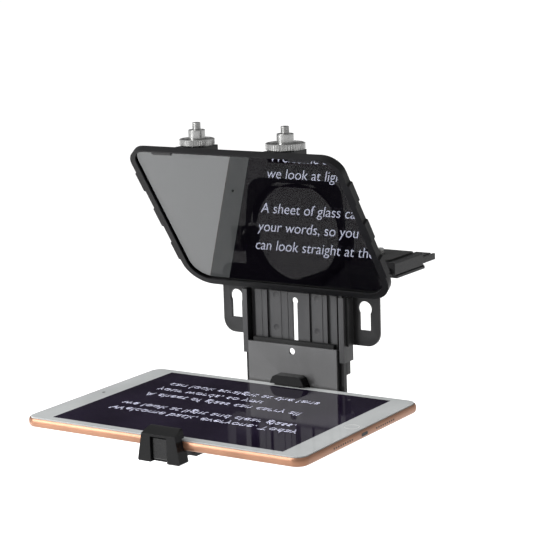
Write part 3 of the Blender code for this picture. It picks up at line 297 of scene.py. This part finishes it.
# black plastic painted lighter for the lens board: painted light standing in for the light it lacks
# behind the glass
BOARD_PAINTED_LIGHT = finish("board_painted_light_looks", (0.05, 0.05, 0.051), 0.38, 0.0, 2200, 2e-5, edge_wear_and_highlight=0.1)
RUBBER = finish(
    "rubber_looks", (0.012, 0.012, 0.012), 0.8, 0.0, 1500, 8e-5, edge_wear_and_highlight=0.0, specular=0.2
)
SILVER = finish("silver_looks", (0.28, 0.28, 0.276), 0.27, 1.0, 1800, 1e-5)
NICKEL_PLATE = finish("nickel_plate_looks", (0.5, 0.5, 0.49), 0.42, 0.35, 1800, 1e-5, edge_wear_and_highlight=0.1)
ROSE = finish(
    "rose_aluminium_looks", (0.26, 0.132, 0.08), 0.36, 0.7, 5200, 5e-6, spread=0.04, edge_wear_and_highlight=0.0
)
OWN_LOOKS = {
    "lock_plate": NICKEL_PLATE,
    "lower_plate": GRAPHITE_PAINTED_SHEEN,
    "glass_frame": FRAME_PLASTIC,
    "front_jaw": JAW_GLOSS,
    "rear_jaw": JAW_GLOSS,
    "lens_board": BOARD_PAINTED_LIGHT,
    "wing_left": WING_PLATE,
    "wing_right": WING_PLATE,
}

LOOKS = {
    "black_anodised": BLACK_ANODISED,
    "graphite_plate": GRAPHITE,
    "black_plastic": BLACK_PLASTIC,
    "rubber": RUBBER,
    "silver_steel": SILVER,
    "rose_aluminium": ROSE,
}


def make_mirror_coat():
    """Half-silvered front face: reflects a part of the light and lets a part through."""
    made, nodes, links = new_material("half_silvered_looks")
    shader = nodes["Principled BSDF"]
    shader.inputs["Metallic"].default_value = 1.0
    shader.inputs["Base Color"].default_value = (*COAT_COLOUR, 1.0)
    shader.inputs["Alpha"].default_value = COAT_COVER
    smudge = add(nodes, "ShaderNodeTexNoise", Scale=14.0, Detail=5.0)
    links.new(object_coordinates(nodes, links, (1, 1, 1)), smudge.inputs["Vector"])
    rough = ramp(nodes, links, smudge.outputs["Fac"], grey(0.0), grey(0.01))
    links.new(rough, shader.inputs["Roughness"])
    return made


def make_clear_glass():
    """The pane's back and rim: faintly tinted, mostly clear."""
    made, nodes, links = new_material("clear_glass_looks")
    shader = nodes["Principled BSDF"]
    shader.inputs["Base Color"].default_value = (0.012, 0.014, 0.014, 1.0)
    shader.inputs["Alpha"].default_value = TINT_COVER
    shader.inputs["Specular IOR Level"].default_value = 0.2
    dust = add(nodes, "ShaderNodeTexNoise", Scale=60.0, Detail=3.0)
    links.new(object_coordinates(nodes, links, (1, 1, 1)), dust.inputs["Vector"])
    rough = ramp(nodes, links, dust.outputs["Fac"], grey(0.02), grey(0.06))
    links.new(rough, shader.inputs["Roughness"])
    return made


def inside_band(nodes, links, source, centre, half):
    """1 where source lies within half of centre, else 0."""
    off = add(nodes, "ShaderNodeMath", operation="SUBTRACT")
    off.inputs[1].default_value = centre
    links.new(source, off.inputs[0])
    size = add(nodes, "ShaderNodeMath", operation="ABSOLUTE")
    links.new(off.outputs[0], size.inputs[0])
    test = add(nodes, "ShaderNodeMath", operation="LESS_THAN")
    test.inputs[1].default_value = half
    links.new(size.outputs[0], test.inputs[0])
    return test.outputs[0]


def make_tablet_face(centre):
    """Front glass over a pale bezel, with a dark lit display in the middle."""
    made, nodes, links = new_material("tablet_face_looks")
    shader = nodes["Principled BSDF"]
    place = add(nodes, "ShaderNodeTexCoord")
    split = add(nodes, "ShaderNodeSeparateXYZ")
    links.new(place.outputs["Object"], split.inputs[0])
    across = inside_band(nodes, links, split.outputs["X"], centre.x, DISPLAY_SIZE[0] / 2)
    along = inside_band(nodes, links, split.outputs["Y"], centre.y, DISPLAY_SIZE[1] / 2)
    both = add(nodes, "ShaderNodeMath", operation="MULTIPLY")
    links.new(across, both.inputs[0])
    links.new(along, both.inputs[1])

    haze = add(nodes, "ShaderNodeTexNoise", Scale=22.0, Detail=4.0)
    links.new(object_coordinates(nodes, links, (1, 1, 1)), haze.inputs["Vector"])
    bezel = ramp(nodes, links, haze.outputs["Fac"], *BEZEL_COLOURS)
    display = ramp(nodes, links, haze.outputs["Fac"], *DISPLAY_COLOURS)
    paint = add(nodes, "ShaderNodeMix", data_type="RGBA")
    links.new(both.outputs[0], paint.inputs["Factor"])
    links.new(bezel, paint.inputs["A"])
    links.new(display, paint.inputs["B"])
    links.new(paint.outputs["Result"], shader.inputs["Base Color"])
    shader.inputs["Specular IOR Level"].default_value = 0.2
    rough = ramp(nodes, links, haze.outputs["Fac"], grey(0.03), grey(0.09))
    links.new(rough, shader.inputs["Roughness"])
    return made


def make_glow(name, colour, strength, grazing_share):
    """Lit display ink, bright when seen square on and much dimmer from low down."""
    made, nodes, links = new_material(name)
    shader = nodes["Principled BSDF"]
    shader.inputs["Base Color"].default_value = (0.02, 0.02, 0.03, 1.0)
    shader.inputs["Emission Color"].default_value = (*colour, 1.0)
    weight = add(nodes, "ShaderNodeLayerWeight", Blend=0.5)
    falloff = add(nodes, "ShaderNodeMapRange")
    falloff.inputs["From Min"].default_value = 0.2
    falloff.inputs["From Max"].default_value = 0.75
    falloff.inputs["To Min"].default_value = strength
    falloff.inputs["To Max"].default_value = strength * grazing_share
    links.new(weight.outputs["Facing"], falloff.inputs["Value"])
    links.new(falloff.outputs["Result"], shader.inputs["Emission Strength"])
    return made


# ---------------------------------------------------------------- meshes


def link(name, mesh, look, body):
    """Puts a mesh in the scene with its finish, riding a body."""
    obj = bpy.data.objects.new(name, mesh)
    bpy.context.scene.collection.objects.link(obj)
    for item in look if isinstance(look, (list, tuple)) else [look]:
        mesh.materials.append(item)
    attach(obj, body)
    return obj


def from_bmesh(name, work):
    mesh = bpy.data.meshes.new(name)
    work.to_mesh(mesh)
    work.free()
    return mesh


def smooth(mesh, degrees=40):
    mesh.shade_smooth()
    mesh.set_sharp_from_angle(angle=math.radians(degrees))


def keep_flats_flat(obj):
    """Shades large faces flat, so that only the rounded edges look round."""
    weighted = obj.modifiers.new("flat_faces", "WEIGHTED_NORMAL")
    weighted.weight = 100
    weighted.keep_sharp = True


def merged_copy(node):
    """A CAD piece's mesh with its corners joined and its flat faces whole."""
    work = bmesh.new()
    work.from_mesh(NODES[node].data)
    bmesh.ops.remove_doubles(work, verts=work.verts, dist=SAME_CORNER)
    bmesh.ops.dissolve_limit(work, angle_limit=SAME_FACE, verts=work.verts, edges=work.edges)
    return work


def rounded_copy(node, width, look=None):
    """A CAD piece's own shape with its sharp edges rounded, standing in for that node."""
    work = merged_copy(node)
    sharp = [e for e in work.edges if e.is_manifold and e.calc_face_angle() > SHARP_EDGE]
    bmesh.ops.bevel(
        work,
        geom=sharp,
        offset=width * MM,
        offset_type="OFFSET",
        segments=2,
        profile=0.5,
        affect="EDGES",
        clamp_overlap=True,
    )
    bmesh.ops.remove_doubles(work, verts=work.verts, dist=LEFT_OVER)
    mesh = from_bmesh(node + "_looks", work)
    mesh.materials.clear()
    smooth(mesh)
    obj = link(node + "_looks", mesh, look or LOOKS[SLOT_OF[node]], BODY_OF[node])
    keep_flats_flat(obj)
    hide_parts(node)
    return obj


# How wide each piece's edges are rounded, in millimetres
EDGE_WIDTHS = {
    "glass_frame": 0.35,
    "front_jaw": 1.3,
    "rear_jaw": 0.8,
    "jaw_button": 0.12,
    "lens_board": 0.3,
    "rear_plate": 0.25,
    "body_panel": 0.15,
    "wing_left": 0.35,
    "wing_right": 0.35,
    "ear_left": 0.5,
    "ear_right": 0.5,
    "lock_plate": 0.35,
    "base_plate": 0.25,
    "base_gusset_left": 0.3,
    "base_gusset_right": 0.3,
    "tripod_foot": 0.3,
    "camera_plate": 0.25,
    "camera_pad": 0.25,
    "cold_shoe_left": 0.35,
    "cold_shoe_right": 0.35,
    "lower_plate": 0.3,
    "tablet_arm": 0.25,
    "slide_shoe_left": 0.4,
    "slide_shoe_right": 0.4,
    "glass_clip_left": 0.3,
    "glass_clip_right": 0.3,
    "hinge_leaf_left": 0.2,
    "hinge_leaf_right": 0.2,
}


def revolved(name, levels, teeth=0, closed=False, sides=48):
    """A turned mesh about z from (height, radius, knurl depth) levels; closed makes a ring."""
    work = bmesh.new()
    count = teeth * 4 if teeth else sides
    loops = []
    for height, radius, depth in levels:
        if radius == 0.0:
            loops.append([work.verts.new((0.0, 0.0, height))] * count)
            continue
        loop = []
        for i in range(count):
            angle = 2 * math.pi * i / count
            reach = radius - (depth if i % 4 in (2, 3) else 0.0)
            loop.append(work.verts.new((reach * math.cos(angle), reach * math.sin(angle), height)))
        loops.append(loop)
    following = loops[1:] + (loops[:1] if closed else [])
    for a, b in zip(loops, following):
        for i in range(count):
            j = (i + 1) % count
            corners = []
            for vert in (a[i], a[j], b[j], b[i]):
                if vert not in corners:
                    corners.append(vert)
            work.faces.new(corners)
    bmesh.ops.recalc_face_normals(work, faces=work.faces)
    return from_bmesh(name, work)


def thread_levels(low, high, radius, pitch, depth):
    """Levels of a screw thread's ridges between two heights."""
    count = int((high - low) / pitch)
    levels = []
    for i in range(count):
        levels += [(low + i * pitch, radius - depth, 0.0), (low + (i + 0.5) * pitch, radius, 0.0)]
    return levels


def turned_piece(node, levels, look, teeth=0, closed=False, axis="Z", name=None, stands_in=True):
    """Sets a turned mesh on a node's own axis. Levels are given in the world along that axis."""
    low, high = (Vector(corner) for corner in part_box(node))
    centre = (low + high) / 2
    mesh = revolved(node + "_turned", levels, teeth, closed)
    if axis == "X":
        mesh.transform(Matrix.Rotation(math.radians(90), 4, "Y"))
        centre.x = 0.0
    else:
        centre.z = 0.0
    mesh.transform(Matrix.Translation(centre))
    smooth(mesh, 32)
    obj = link(name or node + "_turned", mesh, look, BODY_OF[node])
    keep_flats_flat(obj)
    if stands_in:
        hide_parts(node)
    return obj


def make_shoe_rings():
    """Knurled silver rings with a shallow dish on top, around the adapter stems."""
    cut = 0.5 * MM
    for side in ("left", "right"):
        node = "shoe_ring_" + side
        low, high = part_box(node)
        radius = (high[0] - low[0]) / 2
        z0, z1 = low[2], high[2]
        levels = [
            (z0, radius - 0.6 * MM, 0.0),
            (z0 + 0.4 * MM, radius, cut),
            (z1 - 0.4 * MM, radius, cut),
            (z1, radius - 0.8 * MM, 0.0),
            (z1, radius - 2.6 * MM, 0.0),
            (z1 - 0.5 * MM, radius - 3.2 * MM, 0.0),
            (z1 - 0.5 * MM, RING_BORE, 0.0),
            (z0, RING_BORE, 0.0),
        ]
        turned_piece(node, levels, SILVER, teeth=46, closed=True)


def make_panel_plugs():
    """Flush round plugs in the panel, two on each side of the slot."""
    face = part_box("body_panel")[0][1] + PANEL_FLOOR_DEPTH
    levels = [
        (-0.05 * MM, 0.0, 0.0),
        (-0.05 * MM, 2.9 * MM, 0.0),
        (0.05 * MM, 2.8 * MM, 0.0),
        (0.05 * MM, 2.6 * MM, 0.0),
        (0.02 * MM, 2.5 * MM, 0.0),
        (0.02 * MM, 0.0, 0.0),
    ]
    for side, x in (("left", -18.0), ("right", 20.5)):
        for label, z in (("upper", 8.0), ("lower", -18.5)):
            mesh = revolved("panel_plug", levels, sides=32)
            mesh.transform(Matrix.Rotation(math.radians(90), 4, "X"))
            mesh.transform(Matrix.Translation((x * MM, face, z * MM)))
            smooth(mesh)
            name = "panel_plug_%s_%s" % (side, label)
            link(name, mesh, GRAPHITE, "body")


def make_shadow_strip():
    """A black strip on the lower plate's upper edge: painted shade standing in for the shadow in
    the gap to the panel behind.
    """
    low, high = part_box("lower_plate")
    work = bmesh.new()
    bmesh.ops.create_cube(work, size=1.0)
    size = Vector((STRIP_WIDTH, STRIP_DEPTH, STRIP_HEIGHT))
    bmesh.ops.scale(work, vec=size, verts=work.verts)
    corner = Vector(((low[0] + high[0]) / 2, high[1], high[2] + STRIP_RISE))
    at = corner + Vector((0, size.y, -size.z)) / 2
    bmesh.ops.translate(work, vec=at, verts=work.verts)
    bmesh.ops.bevel(
        work, geom=list(work.edges), offset=0.3 * MM, segments=2, profile=0.5, affect="EDGES"
    )
    mesh = from_bmesh("lower_plate_shadow_strip", work)
    smooth(mesh)
    link("lower_plate_shadow_strip", mesh, RUBBER, BODY_OF["lower_plate"])


def make_wheel():
    """The dark knurled lock wheel and its spindle."""
    low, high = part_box("lock_wheel")
    spindle, radius, cut = 2.0 * MM, 8.1 * MM, 0.7 * MM
    x0, x1, grip = low[0], high[0], high[0] - 5.8 * MM
    levels = [
        (x0, 0.0, 0.0),
        (x0, spindle, 0.0),
        (grip, spindle, 0.0),
        (grip, 7.1 * MM, 0.0),
        (grip + 0.8 * MM, radius, cut),
        (x1 - 0.9 * MM, radius, cut),
        (x1, 7.0 * MM, 0.0),
        (x1, 5.0 * MM, 0.0),
        (x1 - 0.5 * MM, 4.5 * MM, 0.0),
        (x1 - 0.5 * MM, 0.0, 0.0),
    ]
    turned_piece("lock_wheel", levels, BLACK_PLASTIC, teeth=26, axis="X")


def make_knob():
    """The camera plate's knurled lock knob, with a waist and a spindle."""
    low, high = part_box("plate_lock_knob")
    spindle, waist, radius, cut = 2.0 * MM, 4.5 * MM, 8.0 * MM, 0.8 * MM
    x0, x1 = low[0], high[0]
    levels = [
        (x0 + 0.6 * MM, 0.0, 0.0),
        (x0 + 0.6 * MM, 5.0 * MM, 0.0),
        (x0, 5.6 * MM, 0.0),
        (x0, 7.0 * MM, 0.0),
        (x0 + 0.9 * MM, radius, cut),
        (x0 + 9.4 * MM, radius, cut),
        (x0 + 10.9 * MM, waist, 0.0),
        (x0 + 13.4 * MM, waist, 0.0),
        (x0 + 13.4 * MM, spindle, 0.0),
        (x1, spindle, 0.0),
        (x1, 0.0, 0.0),
    ]
    turned_piece("plate_lock_knob", levels, BLACK_PLASTIC, teeth=22, axis="X")


def make_adapters():
    """Adapter stems with a rounded shoulder and a threaded stud; the foot stays as modelled."""
    for side in ("left", "right"):
        node = "shoe_adapter_" + side
        low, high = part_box(node)
        top = high[2]
        foot_top = low[2] + FOOT_THICKNESS
        rounded_copy(node, 0.25)
        stud = top - STUD_LENGTH
        levels = [
            (foot_top, 0.0, 0.0),
            (foot_top, STEM_RADIUS, 0.0),
            (stud - 1.2 * MM, STEM_RADIUS, 0.0),
            (stud - 0.3 * MM, 4.9 * MM, 0.0),
            (stud, 3.3 * MM, 0.0),
        ]
        levels += thread_levels(stud + 0.2 * MM, top - 0.5 * MM, 3.25 * MM, 0.9 * MM, 0.35 * MM)
        levels += [(top, 2.5 * MM, 0.0), (top, 0.0, 0.0)]
        turned_piece(node, levels, SILVER, name=node + "_stem", stands_in=False)


# ---------------------------------------------------------------- glass


def make_glass():
    """The pane with its front face half-silvered and the rest clear."""
    work = merged_copy("beam_splitter")
    for face in work.faces:
        silvered = face.normal.y < -0.5 and face.normal.z < -0.3
        face.material_index = 0 if silvered else 1
    mesh = from_bmesh("beam_splitter_looks", work)
    mesh.materials.clear()
    obj = link(
        "beam_splitter_looks",
        mesh,
        [make_mirror_coat(), make_clear_glass()],
        BODY_OF["beam_splitter"],
    )
    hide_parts("beam_splitter")


# ---------------------------------------------------------------- tablet


def rounded_outline(half_x, half_y, radius, steps=14):
    """The points of a rectangle with round corners, about its centre."""
    points = []
    for cx, cy, start in ((1, -1, -90), (1, 1, 0), (-1, 1, 90), (-1, -1, 180)):
        for i in range(steps + 1):
            a = math.radians(start + 90 * i / steps)
            x = cx * (half_x - radius) + radius * math.cos(a)
            y = cy * (half_y - radius) + radius * math.sin(a)
            points.append((x, y))
    return points


def make_tablet_shell():
    """Shell with a full round side, open at the top for the front glass."""
    low, high = (Vector(corner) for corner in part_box("tablet_shell"))
    centre = (low + high) / 2
    half = (high - low) / 2
    height = high.z - low.z
    profile = []
    for i in range(SHELL_STEPS + 1):
        a = math.radians(-90 + 150 * i / SHELL_STEPS)
        profile.append((1.9 * MM * (1 - math.cos(a)), height * (0.5 + 0.5 * math.sin(a))))
    top = max(z for inset, z in profile)
    profile.append((1.75 * MM, top))
    profile.append((1.75 * MM, top - 1.2 * MM))
    work = bmesh.new()
    loops = []
    for inset, z in profile:
        outline = rounded_outline(half.x - inset, half.y - inset, SHELL_CORNER - inset)
        loops.append([work.verts.new((centre.x + x, centre.y + y, low.z + z)) for x, y in outline])
    for a, b in zip(loops, loops[1:]):
        for i in range(len(a)):
            j = (i + 1) % len(a)
            work.faces.new((a[i], a[j], b[j], b[i]))
    work.faces.new(list(reversed(loops[0])))
    work.faces.new(loops[-1])
    bmesh.ops.recalc_face_normals(work, faces=work.faces)
    mesh = from_bmesh("tablet_shell_looks", work)
    smooth(mesh, 50)
    obj = link("tablet_shell_looks", mesh, ROSE, "tablet")
    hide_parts("tablet_shell")


def make_prompt_text():
    """Lines of text on the display, reversed so that they read rightly in the glass."""
    high = Vector(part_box("tablet_screen")[1])
    glow = make_glow("prompt_glow", PROMPT_COLOUR, PROMPT_STRENGTH, PROMPT_GRAZING)
    for i, (line, words) in enumerate(PROMPT_LINES):
        text = bpy.data.curves.new("prompt_line_%d" % i, "FONT")
        text.body = words
        text.size = PROMPT_SIZE
        text.offset = PROMPT_THINNING
        text.extrude = PROMPT_THICKNESS
        obj = bpy.data.objects.new("prompt_line_%d" % i, text)
        bpy.context.scene.collection.objects.link(obj)
        text.materials.append(glow)
        at = Vector((PROMPT_LEFT, PROMPT_LAST_Y + line * PROMPT_SPACING, high.z + PROMPT_LIFT))
        obj.matrix_world = Matrix.Translation(at) @ Matrix.Rotation(math.pi, 4, "X")
        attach(obj, "tablet")


def disc(name, radius, height, at, look, body, axis="Z", sides=32):
    """A flat round piece, a little narrower at one end."""
    work = bmesh.new()
    bmesh.ops.create_cone(
        work, cap_ends=True, segments=sides, radius1=radius, radius2=radius * 0.96, depth=height
    )
    mesh = from_bmesh(name, work)
    if axis == "X":
        mesh.transform(Matrix.Rotation(math.radians(90), 4, "Y"))
    mesh.transform(Matrix.Translation(at))
    smooth(mesh)
    return link(name, mesh, look, body)


def make_tablet_dot_and_rim():
    """The tablet's camera dot and the thin metal rim around its home button."""
    low, high = (Vector(corner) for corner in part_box("tablet_screen"))
    shell_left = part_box("tablet_shell")[0][0]
    top = high.z
    camera = Vector((shell_left + 10.5 * MM, (low.y + high.y) / 2, top + 0.02 * MM))
    disc("tablet_camera_dot", 1.3 * MM, 0.1 * MM, camera, BLACK_PLASTIC, "tablet")

    button_low, button_high = (Vector(corner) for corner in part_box("home_button"))
    middle = (button_low + button_high) / 2
    levels = [
        (top - 0.05 * MM, 5.75 * MM, 0.0),
        (top + 0.05 * MM, 5.65 * MM, 0.0),
        (top + 0.05 * MM, 5.35 * MM, 0.0),
        (top - 0.05 * MM, 5.30 * MM, 0.0),
    ]
    rim = revolved("home_button_rim", levels, closed=True)
    rim.transform(Matrix.Translation((middle.x, middle.y, 0.0)))
    link("home_button_rim", rim, NICKEL_PLATE, "tablet")


def make_tablet_port():
    """The port in the tablet's side, with a row of small holes on either side of it, as thin black
    pieces: painted shade for their openings.
    """
    screen_low, screen_high = (Vector(corner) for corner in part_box("tablet_screen"))
    low, high = (Vector(corner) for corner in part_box("tablet_shell"))
    x = high.x - 0.02 * MM
    y = (screen_low.y + screen_high.y) / 2
    z = (low.z + high.z) / 2
    work = bmesh.new()
    bmesh.ops.create_cube(work, size=1.0)
    bmesh.ops.scale(work, vec=Vector((PORT_DEPTH, *PORT_SIZE)), verts=work.verts)
    corners = [e for e in work.edges if abs(e.verts[0].co.x - e.verts[1].co.x) > PORT_DEPTH / 2]
    bmesh.ops.bevel(work, geom=corners, offset=1.1 * MM, segments=6, profile=0.5, affect="EDGES")
    port = from_bmesh("tablet_port", work)
    port.transform(Matrix.Translation((x, y, z)))
    link("tablet_port", port, BLACK_PLASTIC, "tablet")
    for sign in (-1, 1):
        side = "near" if sign < 0 else "far"
        for i in range(HOLE_COUNT):
            at = Vector((x, y + sign * (HOLE_START + HOLE_PITCH * i) * MM, z))
            name = "speaker_hole_%s_%d" % (side, i)
            disc(name, HOLE_RADIUS, PORT_DEPTH, at, BLACK_PLASTIC, "tablet", "X", 16)


# ---------------------------------------------------------------- screws


def make_screw_sockets():
    """A dark hexagon down in each screw's head: painted shade standing in for the depth of its hex
    socket.
    """
    for node in NODES:
        if "_screw" not in node or node == "camera_screw":
            continue
        low, high = (Vector(corner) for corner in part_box(node))
        centre = (low + high) / 2
        outward = 1 if node.startswith(("rear_screw", "rear_jaw")) else -1
        face = high.y if outward > 0 else low.y
        radius = (high.z - low.z) / 2
        work = bmesh.new()
        bmesh.ops.create_cone(
            work,
            cap_ends=True,
            segments=6,
            radius1=radius * 0.5,
            radius2=radius * 0.5,
            depth=0.12 * MM,
        )
        mesh = from_bmesh(node + "_socket", work)
        mesh.transform(Matrix.Rotation(math.radians(90), 4, "X"))
        # the CAD head has a shallow recess, so the hexagon sits on its floor
        mesh.transform(Matrix.Translation((centre.x, face - outward * SOCKET_DEPTH, centre.z)))
        link(node + "_socket", mesh, BLACK_ANODISED, BODY_OF[node])


# ---------------------------------------------------------------- studio


def area_light(name, at, target, size, power, mirrored):
    data = bpy.data.lights.new(name, "AREA")
    data.shape = "RECTANGLE"
    data.size, data.size_y = size
    data.energy = power
    lamp = bpy.data.objects.new(name, data)
    bpy.context.scene.collection.objects.link(lamp)
    lamp.visible_glossy = mirrored
    lamp.location = at
    lamp.rotation_mode = "QUATERNION"
    lamp.rotation_quaternion = (Vector(target) - Vector(at)).to_track_quat("-Z", "Y")


def make_floor():
    """A wide pale floor under the object."""
    work = bmesh.new()
    bmesh.ops.create_grid(work, x_segments=1, y_segments=1, size=FLOOR_HALF)
    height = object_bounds()[0][2] - FLOOR_BELOW
    bmesh.ops.translate(work, vec=(0, 0, height), verts=work.verts)
    mesh = from_bmesh("floor", work)
    floor = bpy.data.objects.new("floor", mesh)
    bpy.context.scene.collection.objects.link(floor)
    made, nodes, _ = new_material("floor_looks")
    shader = nodes["Principled BSDF"]
    shader.inputs["Base Color"].default_value = grey(FLOOR_GREY)
    shader.inputs["Roughness"].default_value = 0.9
    shader.inputs["Specular IOR Level"].default_value = 0.0
    mesh.materials.append(made)


def make_flag():
    """A dark card behind the object that only shiny faces see, for the display to reflect."""
    work = bmesh.new()
    bmesh.ops.create_cube(work, size=1.0)
    bmesh.ops.scale(work, vec=Vector(FLAG_SIZE), verts=work.verts)
    mesh = from_bmesh("flag", work)
    made, nodes, _ = new_material("flag_looks")
    shader = nodes["Principled BSDF"]
    shader.inputs["Base Color"].default_value = grey(FLAG_GREY)
    shader.inputs["Roughness"].default_value = 0.9
    mesh.materials.append(made)
    flag = bpy.data.objects.new("flag", mesh)
    bpy.context.scene.collection.objects.link(flag)
    turn = Matrix.Rotation(CAMERA_AZIMUTH, 4, "Z")
    flag.matrix_world = turn @ Matrix.Translation(FLAG_AT)
    flag.visible_shadow = False
    flag.visible_diffuse = False
    flag.visible_camera = False


def make_lights():
    """A grey sky with a pale ceiling, a soft overhead sun and the softboxes."""
    world = bpy.data.worlds.new("studio")
    world.use_nodes = True
    nodes, links = world.node_tree.nodes, world.node_tree.links
    direction = add(nodes, "ShaderNodeTexCoord")
    split = add(nodes, "ShaderNodeSeparateXYZ")
    links.new(direction.outputs["Generated"], split.inputs[0])
    sky = ramp(nodes, links, split.outputs["Z"], grey(WALL_GREY), grey(CEILING_GREY), *SKY_BLEND)
    horizon = sky.node.color_ramp.elements.new(HORIZON_BAND)
    horizon.color = grey(1.0)
    links.new(sky, nodes["Background"].inputs["Color"])
    bpy.context.scene.world = world
    sun = bpy.data.lights.new("overhead", "SUN")
    sun.energy = SUN_STRENGTH
    sun.angle = SUN_SIZE
    lamp = bpy.data.objects.new("overhead", sun)
    bpy.context.scene.collection.objects.link(lamp)
    lamp.rotation_euler = SUN_TURN
    for softbox in SOFTBOXES:
        area_light(*softbox)
    bpy.context.scene.view_settings.view_transform = "Standard"


def make_camera():
    """The camera that the picture was taken with, from its place, turn, tilt and roll."""
    a, e, r = CAMERA_AZIMUTH, CAMERA_ELEVATION, CAMERA_ROLL
    forward = Vector((-math.sin(a) * math.cos(e), math.cos(a) * math.cos(e), -math.sin(e)))
    right = Vector((math.cos(a), math.sin(a), 0.0))
    up = right.cross(forward)
    turned_right = right * math.cos(r) + up * math.sin(r)
    turned_up = up * math.cos(r) - right * math.sin(r)
    data = bpy.data.cameras.new("picture")
    data.lens = CAMERA_LENS
    data.sensor_width = CAMERA_SENSOR
    camera = bpy.data.objects.new("picture", data)
    bpy.context.scene.collection.objects.link(camera)
    turn = Matrix((turned_right, turned_up, -forward)).transposed()
    camera.matrix_world = Matrix.Translation(CAMERA_AT) @ turn.to_4x4()
    data.clip_start, data.clip_end = 0.05, 60.0
    bpy.context.scene.camera = camera


# ---------------------------------------------------------------- everything


def main():
    """Camera, finishes on the CAD pieces, pieces made here, and then the studio."""
    make_camera()
    face_low, face_high = (Vector(corner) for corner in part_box("tablet_screen"))
    face = make_tablet_face((face_low + face_high) / 2)
    for node, obj in NODES.items():
        slot = SLOT_OF[node]
        looks = {"beam_splitter_glass": None, "screen_glass": face}.get(slot, LOOKS.get(slot))
        if looks:
            obj.data.materials.clear()
            obj.data.materials.append(looks)
    for node, width in EDGE_WIDTHS.items():
        rounded_copy(node, width, look=OWN_LOOKS.get(node))
    make_glass()
    make_shoe_rings()
    make_panel_plugs()
    make_shadow_strip()
    make_wheel()
    make_knob()
    make_adapters()
    make_tablet_shell()
    make_prompt_text()
    make_tablet_dot_and_rim()
    make_tablet_port()
    make_screw_sockets()
    make_floor()
    make_flag()
    make_lights()


main()
